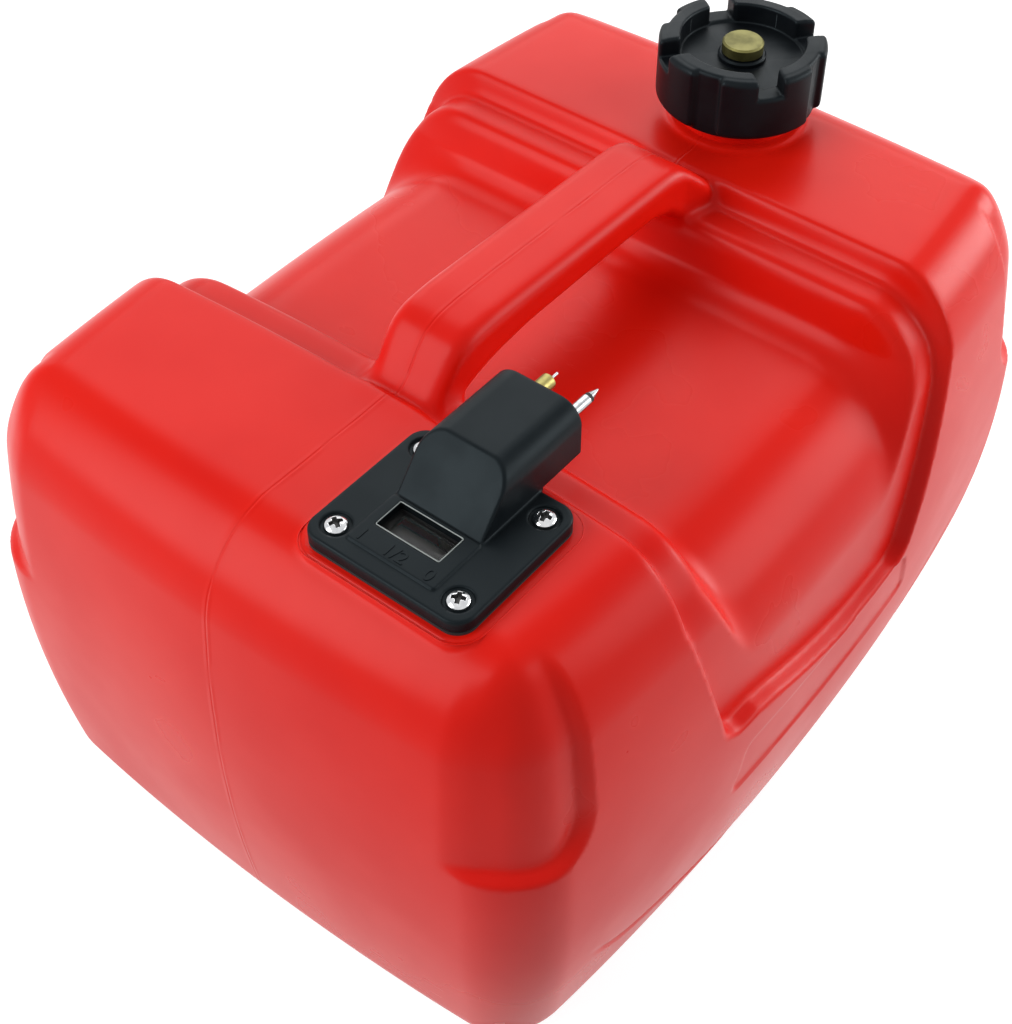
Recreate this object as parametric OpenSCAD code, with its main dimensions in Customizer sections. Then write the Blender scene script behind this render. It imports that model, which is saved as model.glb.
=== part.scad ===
// Portable outboard fuel tank, about 12 litres, with its filler cap and gauge unit.
// Millimetres. +Z is up and the ground is z = 0. +X runs along the tank towards the
// filler cap, and the gauge unit stands on the block at the -X end, on the -Y side.

/* [Tank] */
// Length over the two end faces
tank_len = 356; // [330:2:400]
// Width over the two long sides
tank_wid = 274; // [250:2:310]
// Height of the two end blocks above the ground
tank_hgt = 203; // [190:1:230]
// Thickness of the moulded wall
wall = 3.5; // [2.5:0.25:4.5]
// Radius of the top edges
edge_r = 26; // [20:1:30]
// Radius of the upright corners
corner_r = 27; // [22:1:32]
// Radius of the bottom edges
foot_r = 16; // [10:1:20]
// How far an end face bulges in plan
end_bow = 7; // [0:0.5:12]
// How far a long side bulges in plan
side_bow = 12; // [0:0.5:18]
// How far an end face draws in at its top and bottom
end_tuck = 9; // [0:0.5:14]
// How far a long side draws in at its top and bottom
side_tuck = 12.5; // [0:0.5:16]

/* [Waist] */
// Distance from the middle of the tank to the edge of each end block
waist_half = 83; // [78:1:90]
// How far the edge of the gauge block swings back towards its corners
ridge_bow = 6; // [0:0.5:8]
// Drop from the block tops to the shelf
shelf_drop = 9.5; // [6:0.5:12]
// Width of the shelf
shelf_wid = 18; // [14:1:22]
// Drop from the block tops to the saddle
saddle_drop = 32; // [28:1:40]
// Radius of the long shoulders of the saddle
saddle_r = 45; // [38:1:52]
// Depth of the pocket in each long side
pocket_deep = 6.5; // [3:0.5:9]
// Height of the pocket's ledge at its lowest point
ledge_z = 89; // [82:1:96]
// How much higher the ledge is beside the gauge block
ledge_rise = 16; // [0:1:18]
// Depth of the strap notch in each upright corner
notch_deep = 5; // [2:0.5:7]
// Length of a strap notch along the side
notch_len = 36; // [34:1:44]
// Height of the lower end of the strap notches
notch_z = 120; // [105:1:135]

/* [Handle] */
// Height of the top of the handle above the block tops
handle_rise = 17.5; // [14:0.5:28]
// Depth of the grip from top to underside
grip_deep = 18; // [14:1:28]
// Width of the grip
grip_wid = 32.5; // [28:0.5:40]
// Width of the handle where it grows out of the gauge block
root_wid = 27; // [24:1:54]
// Rounding of the grip's long edges
grip_r = 6; // [5:0.5:9]

/* [Filler neck] */
// Distance of the filler neck from the middle of the tank
neck_x = 126; // [120:1:130]
// Outer radius of the neck under its thread
neck_r = 24; // [20:0.5:26]
// Wall thickness of the neck
neck_wall = 3; // [2.5:0.25:4]
// Height of the neck above the block top
neck_tall = 20.5; // [18:0.1:22]
// Radius of the flange round the foot of the neck
flange_r = 31; // [27.5:0.5:34]
// Height of the flange above the block top
flange_tall = 2.2; // [1:0.1:3]
// Rise of the thread in one turn
thread_pitch = 6; // [5:0.5:7]
// How far the thread ridge stands out
thread_deep = 1.6; // [1:0.1:2]
// Turns of the thread on the neck
thread_turns = 1.75; // [1:0.25:2]

/* [Filler cap] */
// Outer radius of the cap
cap_r = 33; // [31:0.5:36]
// Height of the raised grips above the top plate
grip_up = 8.5; // [7:0.5:12]
// Thickness of the raised grips
grip_thick = 8.5; // [5:0.5:9]
// Width of the gaps between the raised grips
grip_gap = 10; // [7:0.5:18]
// Thickness of the cap's top plate
cap_plate = 4; // [3:0.25:5]
// Turn of the gaps between the grips about the cap's axis
grip_turn = 53; // [0:1:89]
// Thickness of the sealing washer inside the cap
gasket_t = 2; // [1.5:0.1:3]

/* [Vent screw] */
// Radius of the brass knob
knob_r = 8.15; // [6:0.05:10]
// Height of the brass knob
knob_tall = 4.5; // [3:0.25:7]
// Radius of the vent screw's stem
stem_r = 3; // [2:0.1:4]
// Radius of the boss that the knob closes on
boss_r = 9.5; // [9:0.5:14]
// Height of the boss above the cap's plate
boss_tall = 2; // [1.5:0.25:3]

/* [Gauge unit] */
// Distance of the gauge plate's centre from the middle of the tank
plate_x = -121; // [-124:0.5:-119]
// Distance of the gauge plate's centre from the handle's line
plate_y = -54; // [-58:0.5:-50]
// Length of the plate along the tank
plate_len = 58; // [56:0.5:64]
// Width of the plate across the tank
plate_wid = 64; // [62:0.5:70]
// Thickness of the plate
plate_t = 4.8; // [4:0.1:6]
// Corner radius of the plate
plate_r = 7; // [5:0.5:9]
// Thickness of the gasket under the plate
seal_t = 1; // [0.6:0.1:2]
// Screw spacing along the tank
screw_dx = 41; // [40:0.5:44]
// Screw spacing across the tank
screw_dy = 48; // [46:0.5:52]
// Radius of the screw heads
head_r = 3.9; // [3.5:0.1:4.2]
// Radius of the screw threads
screw_r = 2; // [1.5:0.1:2.2]
// Radius of the round hole in the tank under the plate
hole_r = 24; // [23:0.5:24.5]
// Length of the gauge window
window_len = 25.2; // [22:0.2:27]
// Width of the gauge window
window_wid = 11.9; // [10:0.1:13]

/* [Connector block] */
// Height of the block's top above the plate
block_up = 20.2; // [18:0.2:24]
// Width of the block across the tank
block_wid = 34; // [32:0.5:38]
// How far the block reaches past the plate's edge
block_over = 21; // [16:0.5:24]
// Distance between the fuel nipple and the guide pin
fitting_gap = 15; // [13:0.5:18]
// Height of the two fittings above the plate
fitting_up = 6.2; // [5.5:0.1:8]
// Radius of the brass fuel nipple
nipple_r = 2.9; // [2.5:0.1:3.5]
// Length of the brass fuel nipple outside the block
nipple_len = 15; // [12:0.5:18]
// Radius of the steel guide pin
guide_r = 2; // [1.6:0.1:2.6]
// Length of the steel guide pin outside the block
guide_len = 21; // [16:0.5:24]

/* [Float gauge] */
// Radius of the marked drum under the window
drum_r = 5.4; // [4.5:0.1:5.6]
// Distance from the drum's pivot to the float's centre
float_reach = 174; // [168:1:178]
// Slope of the line from the pivot down to the float at rest
float_slope = 51; // [45:1:56]
// Radius of the float
float_r = 12.5; // [10:0.5:14]
// Length of the float
float_len = 25; // [20:1:28]
// Radius of the float's wire arm
wire_r = 1.25; // [1:0.05:1.6]
// Radius of the drum's pivot pin
pivot_r = 1.5; // [1.2:0.1:1.8]
// Running clearance of the moving parts on their pins
run_gap = 0.08; // [0.05:0.01:0.1]

/* [Pick-up] */
// Outer radius of the pick-up tube
tube_r = 3.5; // [3:0.1:4]
// Bore radius of the pick-up tube and the nipple
bore_r = 1.6; // [1.2:0.1:2]
// Height of the strainer's foot above the tank's floor
foot_gap = 3; // [2:0.5:8]
// Radius of the strainer
strainer_r = 8; // [6:0.5:9]
// Height of the strainer
strainer_tall = 22; // [16:1:28]

/* [Hidden] */

half_len = tank_len / 2;
half_wid = tank_wid / 2;
// Where the curved sides are widest
belly_z = 0.474 * tank_hgt;
shelf_edge = waist_half - shelf_wid;
saddle_z = tank_hgt - saddle_drop;
// Height at which the waist's edges start to slant down the sides
slant_z = saddle_z + 6;
// Slant of the waist's edges on the sides, in mm along for each mm down
slant = 0.29;
fit = 0.3;
// Chamfer on the rims of the small round parts
rim = 0.7;

red = [0.80, 0.12, 0.09];
black = [0.07, 0.075, 0.08];
rubber = [0.12, 0.12, 0.12];
brass = [0.72, 0.58, 0.25];
steel = [0.75, 0.76, 0.78];
chrome = [0.85, 0.86, 0.88];
clear = [0.75, 0.80, 0.82, 0.35];
natural = [0.88, 0.87, 0.80];

// ---- Shared shapes ---------------------------------------------------------------

function ease(t) = t <= 0 ? 0 : t >= 1 ? 1 : t * t * (3 - 2 * t);
function inset_at(r, d) = d < r ? r - sqrt(max(r * r - pow(r - d, 2), 0)) : 0;
function side_of(v) = v < 0 ? -1 : 1;

// Triangles that join equal closed rings, numbered ring after ring
function skin_faces(rings, n) = [
    for (r = [0 : rings - 2], k = [0 : n - 1])
        let (a = r * n + k, b = r * n + (k + 1) % n, c = a + n, d = b + n)
            each [[a, b, d], [a, d, c]]
];

// Closed solid through rings of points, with a centre point at each end
module loft(rings) {
    n = len(rings[0]);
    m = len(rings);
    first = [for (axis = [0 : 2]) [for (p = rings[0]) p[axis]] * [for (p = rings[0]) 1] / n];
    last = [for (axis = [0 : 2]) [for (p = rings[m - 1]) p[axis]] * [for (p = rings[0]) 1] / n];
    polyhedron(
        points = concat([for (r = rings) each r], [first, last]),
        faces = concat(
            skin_faces(m, n),
            [for (k = [0 : n - 1]) [m * n, (k + 1) % n, k]],
            [for (k = [0 : n - 1]) [m * n + 1, (m - 1) * n + k, (m - 1) * n + (k + 1) % n]]
        ),
        convexity = 8
    );
}

module rounded_plate(len_x, len_y, r, h) {
    linear_extrude(h) rounded_outline(len_x, len_y, r);
}

module rounded_outline(len_x, len_y, r) {
    union() {
        square([len_x - 2 * r, len_y], center = true);
        square([len_x, len_y - 2 * r], center = true);
        for (sx = [-1, 1], sy = [-1, 1])
            translate([sx * (len_x / 2 - r), sy * (len_y / 2 - r)]) circle(r, $fn = 48);
    }
}

module at_plate(z) {
    translate([plate_x, plate_y, z]) children();
}

module at_screws(z) {
    for (sx = [-1, 1], sy = [-1, 1])
        translate([plate_x + sx * screw_dx / 2, plate_y + sy * screw_dy / 2, z]) children();
}

module along_x() {
    rotate([0, 90, 0]) children();
}

module along_y() {
    rotate([-90, 0, 0]) children();
}

// ---- Tank body -------------------------------------------------------------------

// Stations along half the tank, from the middle out to the end face
tank_stations = [
    0, 26, shelf_edge - 20, shelf_edge - 13, shelf_edge - 8, shelf_edge - 4,
    shelf_edge - 0.5, shelf_edge + 3, waist_half - 4, waist_half - 1.5,
    waist_half + 1, waist_half + 3, half_len - notch_len - 22, half_len - notch_len,
    half_len - notch_len + 4, half_len - edge_r,
    for (a = [30, 55, 75, 84]) half_len - edge_r + edge_r * sin(a)
];

// Share of a step that is down, by the distance outwards from the step's edge
step_shape = [[-13, 1], [-8, 0.94], [-4, 0.72], [-0.5, 0.12], [3, 0]];
ridge_shape = [[-4, 1], [-1.5, 0.85], [1, 0.08], [3, 0]];

// Drop of the top surface below the block tops at a distance from the middle
function top_drop(s) =
    shelf_drop * lookup(s - waist_half, ridge_shape)
    + (saddle_drop - shelf_drop) * lookup(s - shelf_edge, step_shape);

function shoulder_at(s) =
    edge_r + (saddle_r - edge_r) * lookup(s - shelf_edge, step_shape);

function pocket_at(s) = pocket_deep * lookup(s - waist_half, [[-1.5, 1], [1, 0]]);

function notch_at(s) =
    notch_deep * lookup(s - (half_len - notch_len),
        [[0, 0], [4, 1], [notch_len - 1, 1], [notch_len - 0.2, 0]]);

function ledge_at(s) =
    ledge_z + ledge_rise * pow((shelf_edge - min(max(s, -shelf_edge), shelf_edge)) / (2 * shelf_edge), 2);

// Turn of a rounded edge of radius r that a section at a depth from the end face shows
function sweep_at(r, depth) = depth < r ? acos(1 - depth / r) : 90;

// Half of a cross-section at station s, from the top's middle round to the bottom's
// middle, as [y, z, notch share]. The wall is drawn in by t.
function half_section(s, t) =
    let (
        q = abs(s),
        r = shoulder_at(q - t) - t,
        low_r = max(foot_r - t, 4),
        side_r = corner_r - t,
        depth = half_len - t - q,
        turn = sweep_at(r, depth),
        low_turn = sweep_at(low_r, depth),
        w_low = half_wid - t,
        w = w_low - pocket_at(q - t),
        z_side = tank_hgt - t - top_drop(q - t) - r,
        ins = inset_at(side_r, depth),
        zl = ledge_at(s),
        z_foot = t + low_r,
        upper = [for (k = [0, 0.2, 0.4, 0.6, 0.8, 1])
            let (a = turn * (1 - k), i = r * (1 - cos(a)))
                [w - i - inset_at(side_r, depth - i), z_side + r * sin(a), ease(k * 1.5)]],
        lower = [for (k = [0, 1, 2, 3])
            let (a = low_turn * k / 3, i = low_r * (1 - cos(a)))
                [w_low - i - inset_at(side_r, depth - i), z_foot - low_r * sin(a), 0]]
    ) concat(
        [for (k = [0, 0.3, 0.6, 0.85]) [k * upper[0].x, upper[0].y, 0]],
        upper,
        [for (z = [(z_side + notch_z + 4) / 2, notch_z + 4]) [w - ins, z, 1]],
        [for (z = [notch_z, zl + 4, zl + 1.5]) [w - ins, z, 0]],
        [for (z = [zl - 1, zl - 3.5, (zl + z_foot) / 2]) [w_low - ins, z, 0]],
        lower,
        [[0.5 * lower[3].x, lower[3].y, 0], [0, lower[3].y, 0]]
    );

// How strongly the waist's edges are carried along at a station
function carry(s) =
    let (q = abs(s)) q < 50 ? q / 50 : q < 100 ? 1 : max(0, (130 - q) / 30);

function slant_at(s, z) =
    let (zl = ledge_at(s), full = slant * (slant_z - zl))
        z > slant_z ? 0 : z > zl ? slant * (slant_z - z) : full * z / zl;

// A point of the straight box, moved to where the bowed tank has it
function bowed(s, y, z) =
    let (
        v = y / half_wid,
        rise = pow((z - belly_z) / tank_hgt, 2) * 4,
        x = s - side_of(s) * carry(s) * slant_at(s, z)
            - (s < 0 ? carry(s) * ridge_bow * v * v : 0),
        u = x / half_len,
        x_in = (end_bow * v * v + end_tuck * rise) * pow(abs(u), 4),
        y_in = side_bow * u * u * abs(v) + side_tuck * rise * pow(abs(v), 4)
    ) [x - side_of(x) * x_in, y - side_of(y) * y_in, z];

// Strap notches follow the upright corners, square to the surface
function notched(s, t, p) =
    let (
        r = edge_r - t,
        over = min(max((abs(s) - (half_len - t - r)) / r, 0), 1),
        d = notch_at(abs(s)) * p.z
    ) [s - side_of(s) * d * over, p.x - d * sqrt(1 - over * over), p.y];

// A ring at station s, or the same shape shrunk and moved out to x as part of the end
function tank_ring(s, t, scale = 1, x = 0) =
    let (
        half = [for (p = half_section(s, t)) notched(s, t, p)],
        n = len(half),
        mid_z = tank_hgt / 2,
        ring = concat(half, [for (k = [n - 2 : -1 : 1]) [half[k].x, -half[k].y, half[k].z]])
    ) [for (p = ring)
        scale == 1
            ? bowed(p.x, p.y, p.z)
            : bowed(x, p.y * scale, mid_z + (p.z - mid_z) * scale)];

// Rings of the whole tank through mirrored stations, its wall drawn in by t
function tank_rings(stations, t) =
    let (
        n = len(stations),
        last = stations[n - 1],
        face = half_len - t
    ) concat(
        [for (scale = [0.5, 0.95]) tank_ring(-last, t, scale, -face)],
        [for (k = [n - 1 : -1 : 1]) tank_ring(-stations[k], t)],
        [for (k = [0 : n - 1]) tank_ring(stations[k], t)],
        [for (scale = [0.95, 0.5]) tank_ring(last, t, scale, face)]
    );

// Stations of the cavity, fewer than outside because nothing there has a sharp edge
cavity_stations = [
    0, 28, shelf_edge - 9, shelf_edge - 1, shelf_edge + 6.5, waist_half + 2,
    waist_half + 8, half_len - notch_len - 1, half_len - notch_len + 4, half_len - edge_r,
    for (a = [45, 70, 84]) half_len - edge_r + (edge_r - wall) * sin(a)
];

// Handle: distance along the tank, height of its top over the block tops as a share
// of the rise, and how far its underside lies below the grip's own
handle_line = [
    [-95, -0.70, -25], [-82, -0.36, -22], [-76, -0.06, -19], [-71, 0.36, -14],
    [-65.5, 0.78, -9], [-58, 0.95, -5], [-46, 1, -2], [-28, 0.98, 0],
    [-8, 0.95, 0], [20, 0.92, 0], [46, 0.90, -0.5], [58, 0.88, -4],
    [66, 0.78, -12], [74, 0.38, -18], [84, -0.18, -22], [94, -0.60, -25]
];

// Where the handle starts to widen towards each of its roots, and over what length
near_flare = 58;
near_run = 30;
far_flare = 64;
far_run = 16;
far_wider = 3;

function handle_half_wid(x) =
    grip_wid / 2
    + (root_wid - grip_wid) / 2 * ease((-near_flare - x) / near_run)
    + far_wider * ease((x - far_flare) / far_run);

function handle_ring(row, t) =
    let (
        x = row[0],
        top = tank_hgt + row[1] * handle_rise - t,
        low = tank_hgt + handle_rise - grip_deep + row[2] + t,
        w = handle_half_wid(x) - t,
        r = min(grip_r - t / 2, (top - low) / 2 - 0.2),
        mid = (top + low) / 2,
        flat = (top - low) / 2 - r
    ) [for (q = [3 : -1 : 0], a = [90, 60, 30, 0])
        let (
            ang = q * 90 + a,
            sy = (q == 0 || q == 3) ? 1 : -1,
            sz = q < 2 ? 1 : -1
        ) [x, sy * (w - r) + r * cos(ang), mid + sz * flat + r * sin(ang)]];

// The shell is one moulding. It is drawn as four solids that meet face to face: the
// lower part, the upper part, the free span of the handle and the neck with its flange.
module shell() {
    difference() {
        union() {
            loft(tank_rings(tank_stations, 0));
            handle_skin(0);
            gauge_pad();
        }
        loft(tank_rings(cavity_stations, wall));
        handle_skin(wall);
        handle_span();
        at_plate(tank_hgt - pad_deep - 1) cylinder(r = hole_r, h = pad_deep + 2, $fn = 96);
        at_screws(tank_hgt - insert_len) cylinder(r = insert_r, h = insert_len + 2, $fn = 48);
        at_neck(tank_hgt - 4 * wall) cylinder(r = flange_r + 0.02, h = 5 * wall, $fn = 96);
    }
}

// Height at which the lower and the upper part of the shell meet
split_z = 112;

module above_split() {
    translate([-tank_len, -tank_wid, split_z]) cube([2 * tank_len, 2 * tank_wid, tank_hgt]);
}

module tank_body() {
    color(red) difference() {
        shell();
        above_split();
    }
}

module tank_upper() {
    color(red) intersection() {
        shell();
        above_split();
    }
}

module handle_skin(t) {
    loft([for (row = handle_line) handle_ring(row, t)]);
}

// Ends of the handle's free span
span_from = 5 - shelf_edge;
span_to = shelf_edge - 7;

// Space above the shelves that holds nothing but the free span
module handle_span() {
    translate([span_from, -root_wid, tank_hgt - shelf_drop])
        cube([span_to - span_from, 2 * root_wid, shelf_drop + handle_rise + 1]);
}

module carry_handle() {
    color(red) difference() {
        intersection() {
            handle_skin(0);
            handle_span();
        }
        handle_skin(wall);
    }
}

insert_r = screw_r + 1.4;
insert_len = 9;
pad_over = 2.5;
pad_deep = insert_len + 2;

// Flat seat under the gauge unit, thick enough for the screw inserts
module gauge_pad() {
    at_plate(tank_hgt - pad_deep)
        rounded_plate(plate_len + 2 * pad_over, plate_wid + 2 * pad_over,
            plate_r + pad_over, pad_deep);
}

neck_foot = tank_hgt + flange_tall;

module filler_neck() {
    neck_low = tank_hgt - wall;
    color(red) difference() {
        union() {
            at_neck(neck_low) cylinder(r = flange_r, h = neck_foot - rim - neck_low, $fn = 96);
            at_neck(neck_foot - rim) cylinder(r1 = flange_r, r2 = flange_r - rim, h = rim, $fn = 96);
            at_neck(neck_low) cylinder(r = neck_r, h = gasket_z - neck_low, $fn = 96);
            neck_thread();
        }
        at_neck(neck_low - 1)
            cylinder(r = neck_r - neck_wall, h = gasket_z - neck_low + 2, $fn = 96);
    }
}

// Helical ridge about the neck's axis, from radius r_in to r_out, starting at height z
module ridge(r_in, r_out, z, turns) {
    steps = 32;
    n = round(turns * steps);
    foot = 1.3 * side_of(r_out - r_in);
    crest = 0.55 * side_of(r_out - r_in);
    loft([for (k = [0 : n])
        let (
            a = k * 360 / steps,
            taper = min(1, min(k, n - k) / 3 + 0.15),
            r_top = r_in + (r_out - r_in) * taper,
            rise = z + thread_pitch * k / steps
        ) [for (p = [[r_in, -foot], [r_top, -crest], [r_top, crest], [r_in, foot]])
            [neck_x + p.x * cos(a), p.x * sin(a), rise + p.y]]]);
}

thread_z = neck_foot + 4;

module neck_thread() {
    ridge(neck_r - 0.3, neck_r + thread_deep, thread_z, thread_turns);
}

// ---- Filler cap ------------------------------------------------------------------

// Bare part of the neck between its flange and the cap's rim
rim_gap = 5.5;
cap_rim = neck_foot + rim_gap;
gasket_z = tank_hgt + neck_tall;
plate_under = gasket_z + gasket_t;
cap_top = plate_under + cap_plate;
// Room between the neck's thread and the cap's bore
thread_gap = 0.4;
cap_bore = neck_r + thread_deep + thread_gap;
dish_r = cap_r - grip_thick;
boss_top = cap_top + boss_tall;
washer_t = 0.5;
knob_z = boss_top + washer_t;
sleeve_r = stem_r + 2.5;
grip_top = cap_top + grip_up;
// How far the thick ribs stand out, how wide they are, and the lip between grips
rib_out = 2.4;
rib_wid = 13.5;
lip = 1;

module at_neck(z) {
    translate([neck_x, 0, z]) children();
}

module filler_cap() {
    color(black) union() {
        difference() {
            union() {
                at_neck(cap_rim) cylinder(r = cap_r - rib_out, h = grip_top - cap_rim, $fn = 128);
                at_neck(cap_rim + 1.5) linear_extrude(grip_top - cap_rim - 1.5) rib_outline();
            }
            at_neck(cap_rim - 1) cylinder(r = cap_bore, h = plate_under - cap_rim + 1, $fn = 128);
            at_neck(plate_under - 1) cylinder(r = sleeve_r, h = cap_plate + 2, $fn = 64);
            at_neck(cap_top) cylinder(r = dish_r, h = grip_up + 1, $fn = 128);
            for (k = [0, 1])
                at_neck(cap_top + lip) rotate([0, 0, grip_turn + 90 * k])
                    translate([-cap_r - 1, -grip_gap / 2, 0])
                        cube([2 * cap_r + 2, grip_gap, grip_up + 1]);
        }
        cap_thread();
    }
}

// Outer band of the thick ribs, two on each grip, one at each side of every gap
module rib_outline() {
    intersection() {
        difference() {
            circle(cap_r, $fn = 128);
            circle(cap_r - rib_out - 0.5, $fn = 128);
        }
        for (k = [0 : 3]) rotate(grip_turn + 90 * k)
            translate([0, -grip_gap / 2 - rib_wid]) square([cap_r + 1, grip_gap + 2 * rib_wid]);
    }
}

module cap_thread() {
    ridge(cap_bore + 0.3, cap_bore - thread_deep, thread_z + thread_pitch / 2, 1.25);
}

module cap_gasket() {
    color(rubber) at_neck(gasket_z) difference() {
        cylinder(r = cap_bore - fit, h = gasket_t, $fn = 96);
        translate([0, 0, -1])
            cylinder(r = neck_r - neck_wall - 2, h = gasket_t + 2, $fn = 96);
    }
}

module vent_boss() {
    color(black) at_neck(0) difference() {
        union() {
            translate([0, 0, cap_top]) cylinder(r = boss_r, h = boss_tall - rim, $fn = 96);
            translate([0, 0, boss_top - rim])
                cylinder(r1 = boss_r, r2 = boss_r - rim, h = rim, $fn = 96);
            translate([0, 0, plate_under])
                cylinder(r = sleeve_r - 0.02, h = cap_plate, $fn = 64);
        }
        translate([0, 0, plate_under - 1])
            cylinder(r = stem_r + run_gap, h = cap_plate + boss_tall + 2, $fn = 64);
    }
}

clip_t = 1;
air_r = 0.9;
clip_drop = 5;
stem_end = plate_under - clip_drop;

module vent_screw() {
    color(brass) at_neck(0) difference() {
        union() {
            translate([0, 0, knob_z]) cylinder(r = knob_r, h = knob_tall - rim, $fn = 96);
            translate([0, 0, knob_z + knob_tall - rim])
                cylinder(r1 = knob_r, r2 = knob_r - rim, h = rim, $fn = 96);
            translate([0, 0, stem_end]) cylinder(r = stem_r, h = knob_z - stem_end, $fn = 64);
        }
        difference() {
            translate([0, 0, stem_end + 1]) cylinder(r = stem_r + 1, h = clip_t, $fn = 64);
            translate([0, 0, stem_end]) cylinder(r = stem_r - 0.6, h = clip_t + 2, $fn = 64);
        }
        translate([0, 0, stem_end - 1]) cylinder(r = air_r, h = boss_top - stem_end, $fn = 32);
        translate([0, -stem_r - 1, boss_top - 1.2]) along_y()
            cylinder(r = air_r / 2, h = 2 * stem_r + 2, $fn = 24);
    }
}

module vent_seal() {
    color(rubber) at_neck(boss_top) difference() {
        cylinder(r = knob_r - 1.2, h = washer_t, $fn = 64);
        translate([0, 0, -1]) cylinder(r = stem_r + run_gap, h = washer_t + 2, $fn = 64);
    }
}

module vent_clip() {
    color(steel) at_neck(stem_end + 1 + 0.05) difference() {
        cylinder(r = stem_r + 2.2, h = clip_t - 0.1, $fn = 64);
        translate([0, 0, -1]) cylinder(r = stem_r - 0.55, h = clip_t + 2, $fn = 64);
        translate([0, -1.5, -1]) cube([stem_r + 4, 3, clip_t + 2]);
    }
}

// ---- Gauge unit ------------------------------------------------------------------

plate_z = tank_hgt + seal_t;
plate_top = plate_z + plate_t;
// Where the window, the block and the pick-up tube stand on the plate
window_dx = -7.7;
window_dy = 1.8;
block_dy = 1;
tube_dx = 13;
window_x = plate_x + window_dx;
window_y = plate_y + window_dy;
block_y = plate_y + block_dy;
block_far = plate_x + plate_len / 2 + block_over;
block_top = plate_top + block_up;
fitting_z = plate_top + fitting_up;
nipple_y = block_y + fitting_gap / 2;
guide_y = block_y - fitting_gap / 2;
tube_x = plate_x + tube_dx;
shoulder_z = plate_top - 3;
// Spot faces that seat the screw heads
spot_r = head_r + 0.6;
spot_tall = 12;
frame_t = 0.5;
flange_over = 2;
socket_r = tube_r + 3;
socket_deep = 10;
head_sink = 1;
// Raised panel round the window, wider on the side that carries the marks
panel_over_x = 11;
panel_over_y = 10.3;
panel_wid = window_wid + panel_over_x;
panel_len = window_len + panel_over_y;
panel_dx = -3.8;
panel_dy = -1;
panel_up = 0.5;
panel_r = 1.5;

module plate_gasket() {
    color(rubber) difference() {
        at_plate(tank_hgt) rounded_plate(plate_len, plate_wid, plate_r, seal_t);
        at_plate(tank_hgt - 1) cylinder(r = hole_r, h = seal_t + 2, $fn = 96);
        at_screws(tank_hgt - 1) cylinder(r = screw_r + fit, h = seal_t + 2, $fn = 48);
    }
}

module screw_inserts() {
    color(brass) at_screws(tank_hgt - insert_len) difference() {
        cylinder(r = insert_r - 0.05, h = insert_len, $fn = 48);
        translate([0, 0, 1]) cylinder(r = screw_r + 0.05, h = insert_len, $fn = 48);
    }
}

module gauge_housing() {
    color(black) difference() {
        union() {
            at_plate(plate_z) rounded_plate(plate_len, plate_wid, plate_r, plate_t - rim);
            at_plate(plate_top - rim)
                rounded_plate(plate_len - 2 * rim, plate_wid - 2 * rim, plate_r - rim, rim);
            translate([window_x + panel_dx, window_y + panel_dy, plate_top])
                rounded_plate(panel_wid, panel_len, panel_r, panel_up);
            connector_block();
            translate([tube_x, nipple_y, plate_z - socket_deep])
                cylinder(r = socket_r, h = socket_deep + 1, $fn = 64);
        }
        window_cut(window_len, window_wid, plate_z - 1, plate_t + 3);
        window_cut(window_len + 2 * flange_over, window_wid + 2 * flange_over,
            plate_z - 1, shoulder_z - plate_z + 1);
        at_screws(plate_z - 1) cylinder(r = screw_r + fit, h = plate_t + 2, $fn = 48);
        at_screws(plate_top - head_sink) cylinder(r = spot_r, h = spot_tall, $fn = 64);
        fuel_way();
    }
}

module window_cut(len_y, len_x, z, h) {
    translate([window_x - len_x / 2, window_y - len_y / 2, z]) cube([len_x, len_y, h]);
}

// Gap from the window to the foot of the block's sloped face, the face's run along the
// tank and the radius of the block's long top edges
face_gap = 1.5;
face_run = 16;
top_r = 8.5;

// Sloped front, flat top and rounded long edges
module connector_block() {
    front = window_x + window_wid / 2 + face_gap;
    intersection() {
        translate([0, block_y + block_wid / 2, 0]) rotate([90, 0, 0])
            linear_extrude(block_wid) polygon([
                [front, plate_top - 1], [front, plate_top], [front + face_run, block_top],
                [block_far - 1, block_top], [block_far, block_top - 1],
                [block_far, plate_top], [plate_x + plate_len / 2, plate_top],
                [plate_x + plate_len / 2, plate_top - 1]
            ]);
        translate([front - 1, block_y, plate_top - 2]) rotate([90, 0, 90])
            linear_extrude(block_far - front + 2) union() {
                translate([-block_wid / 2, 0]) square([block_wid, block_up + 2 - top_r]);
                translate([top_r - block_wid / 2, 0])
                    square([block_wid - 2 * top_r, block_up + 2]);
                for (sy = [-1, 1])
                    translate([sy * (block_wid / 2 - top_r), block_up + 2 - top_r])
                        circle(top_r, $fn = 48);
            }
    }
}

nipple_in = 14;
guide_in = 12;
nipple_base_r = nipple_r + 1.2;
guide_base_r = guide_r + 0.6;

// Fuel passage from the pick-up tube's socket to the nipple, and the fittings' seats
module fuel_way() {
    translate([tube_x, nipple_y, plate_z - socket_deep - 1])
        cylinder(r = tube_r + 0.02, h = socket_deep + 1, $fn = 64);
    translate([tube_x, nipple_y, plate_z - socket_deep - 1])
        cylinder(r = tube_r + 1.7, h = 3, $fn = 64);
    translate([tube_x, nipple_y, plate_z - 1]) cylinder(r = bore_r, h = fitting_z - plate_z + 1, $fn = 32);
    translate([tube_x, nipple_y, fitting_z]) along_x()
        cylinder(r = bore_r, h = block_far - tube_x, $fn = 32);
    translate([block_far - nipple_in, nipple_y, fitting_z]) along_x()
        cylinder(r = nipple_base_r + 0.02, h = nipple_in + 1, $fn = 64);
    translate([block_far - guide_in, guide_y, fitting_z]) along_x()
        cylinder(r = guide_base_r + 0.02, h = guide_in + 1, $fn = 64);
}

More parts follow.
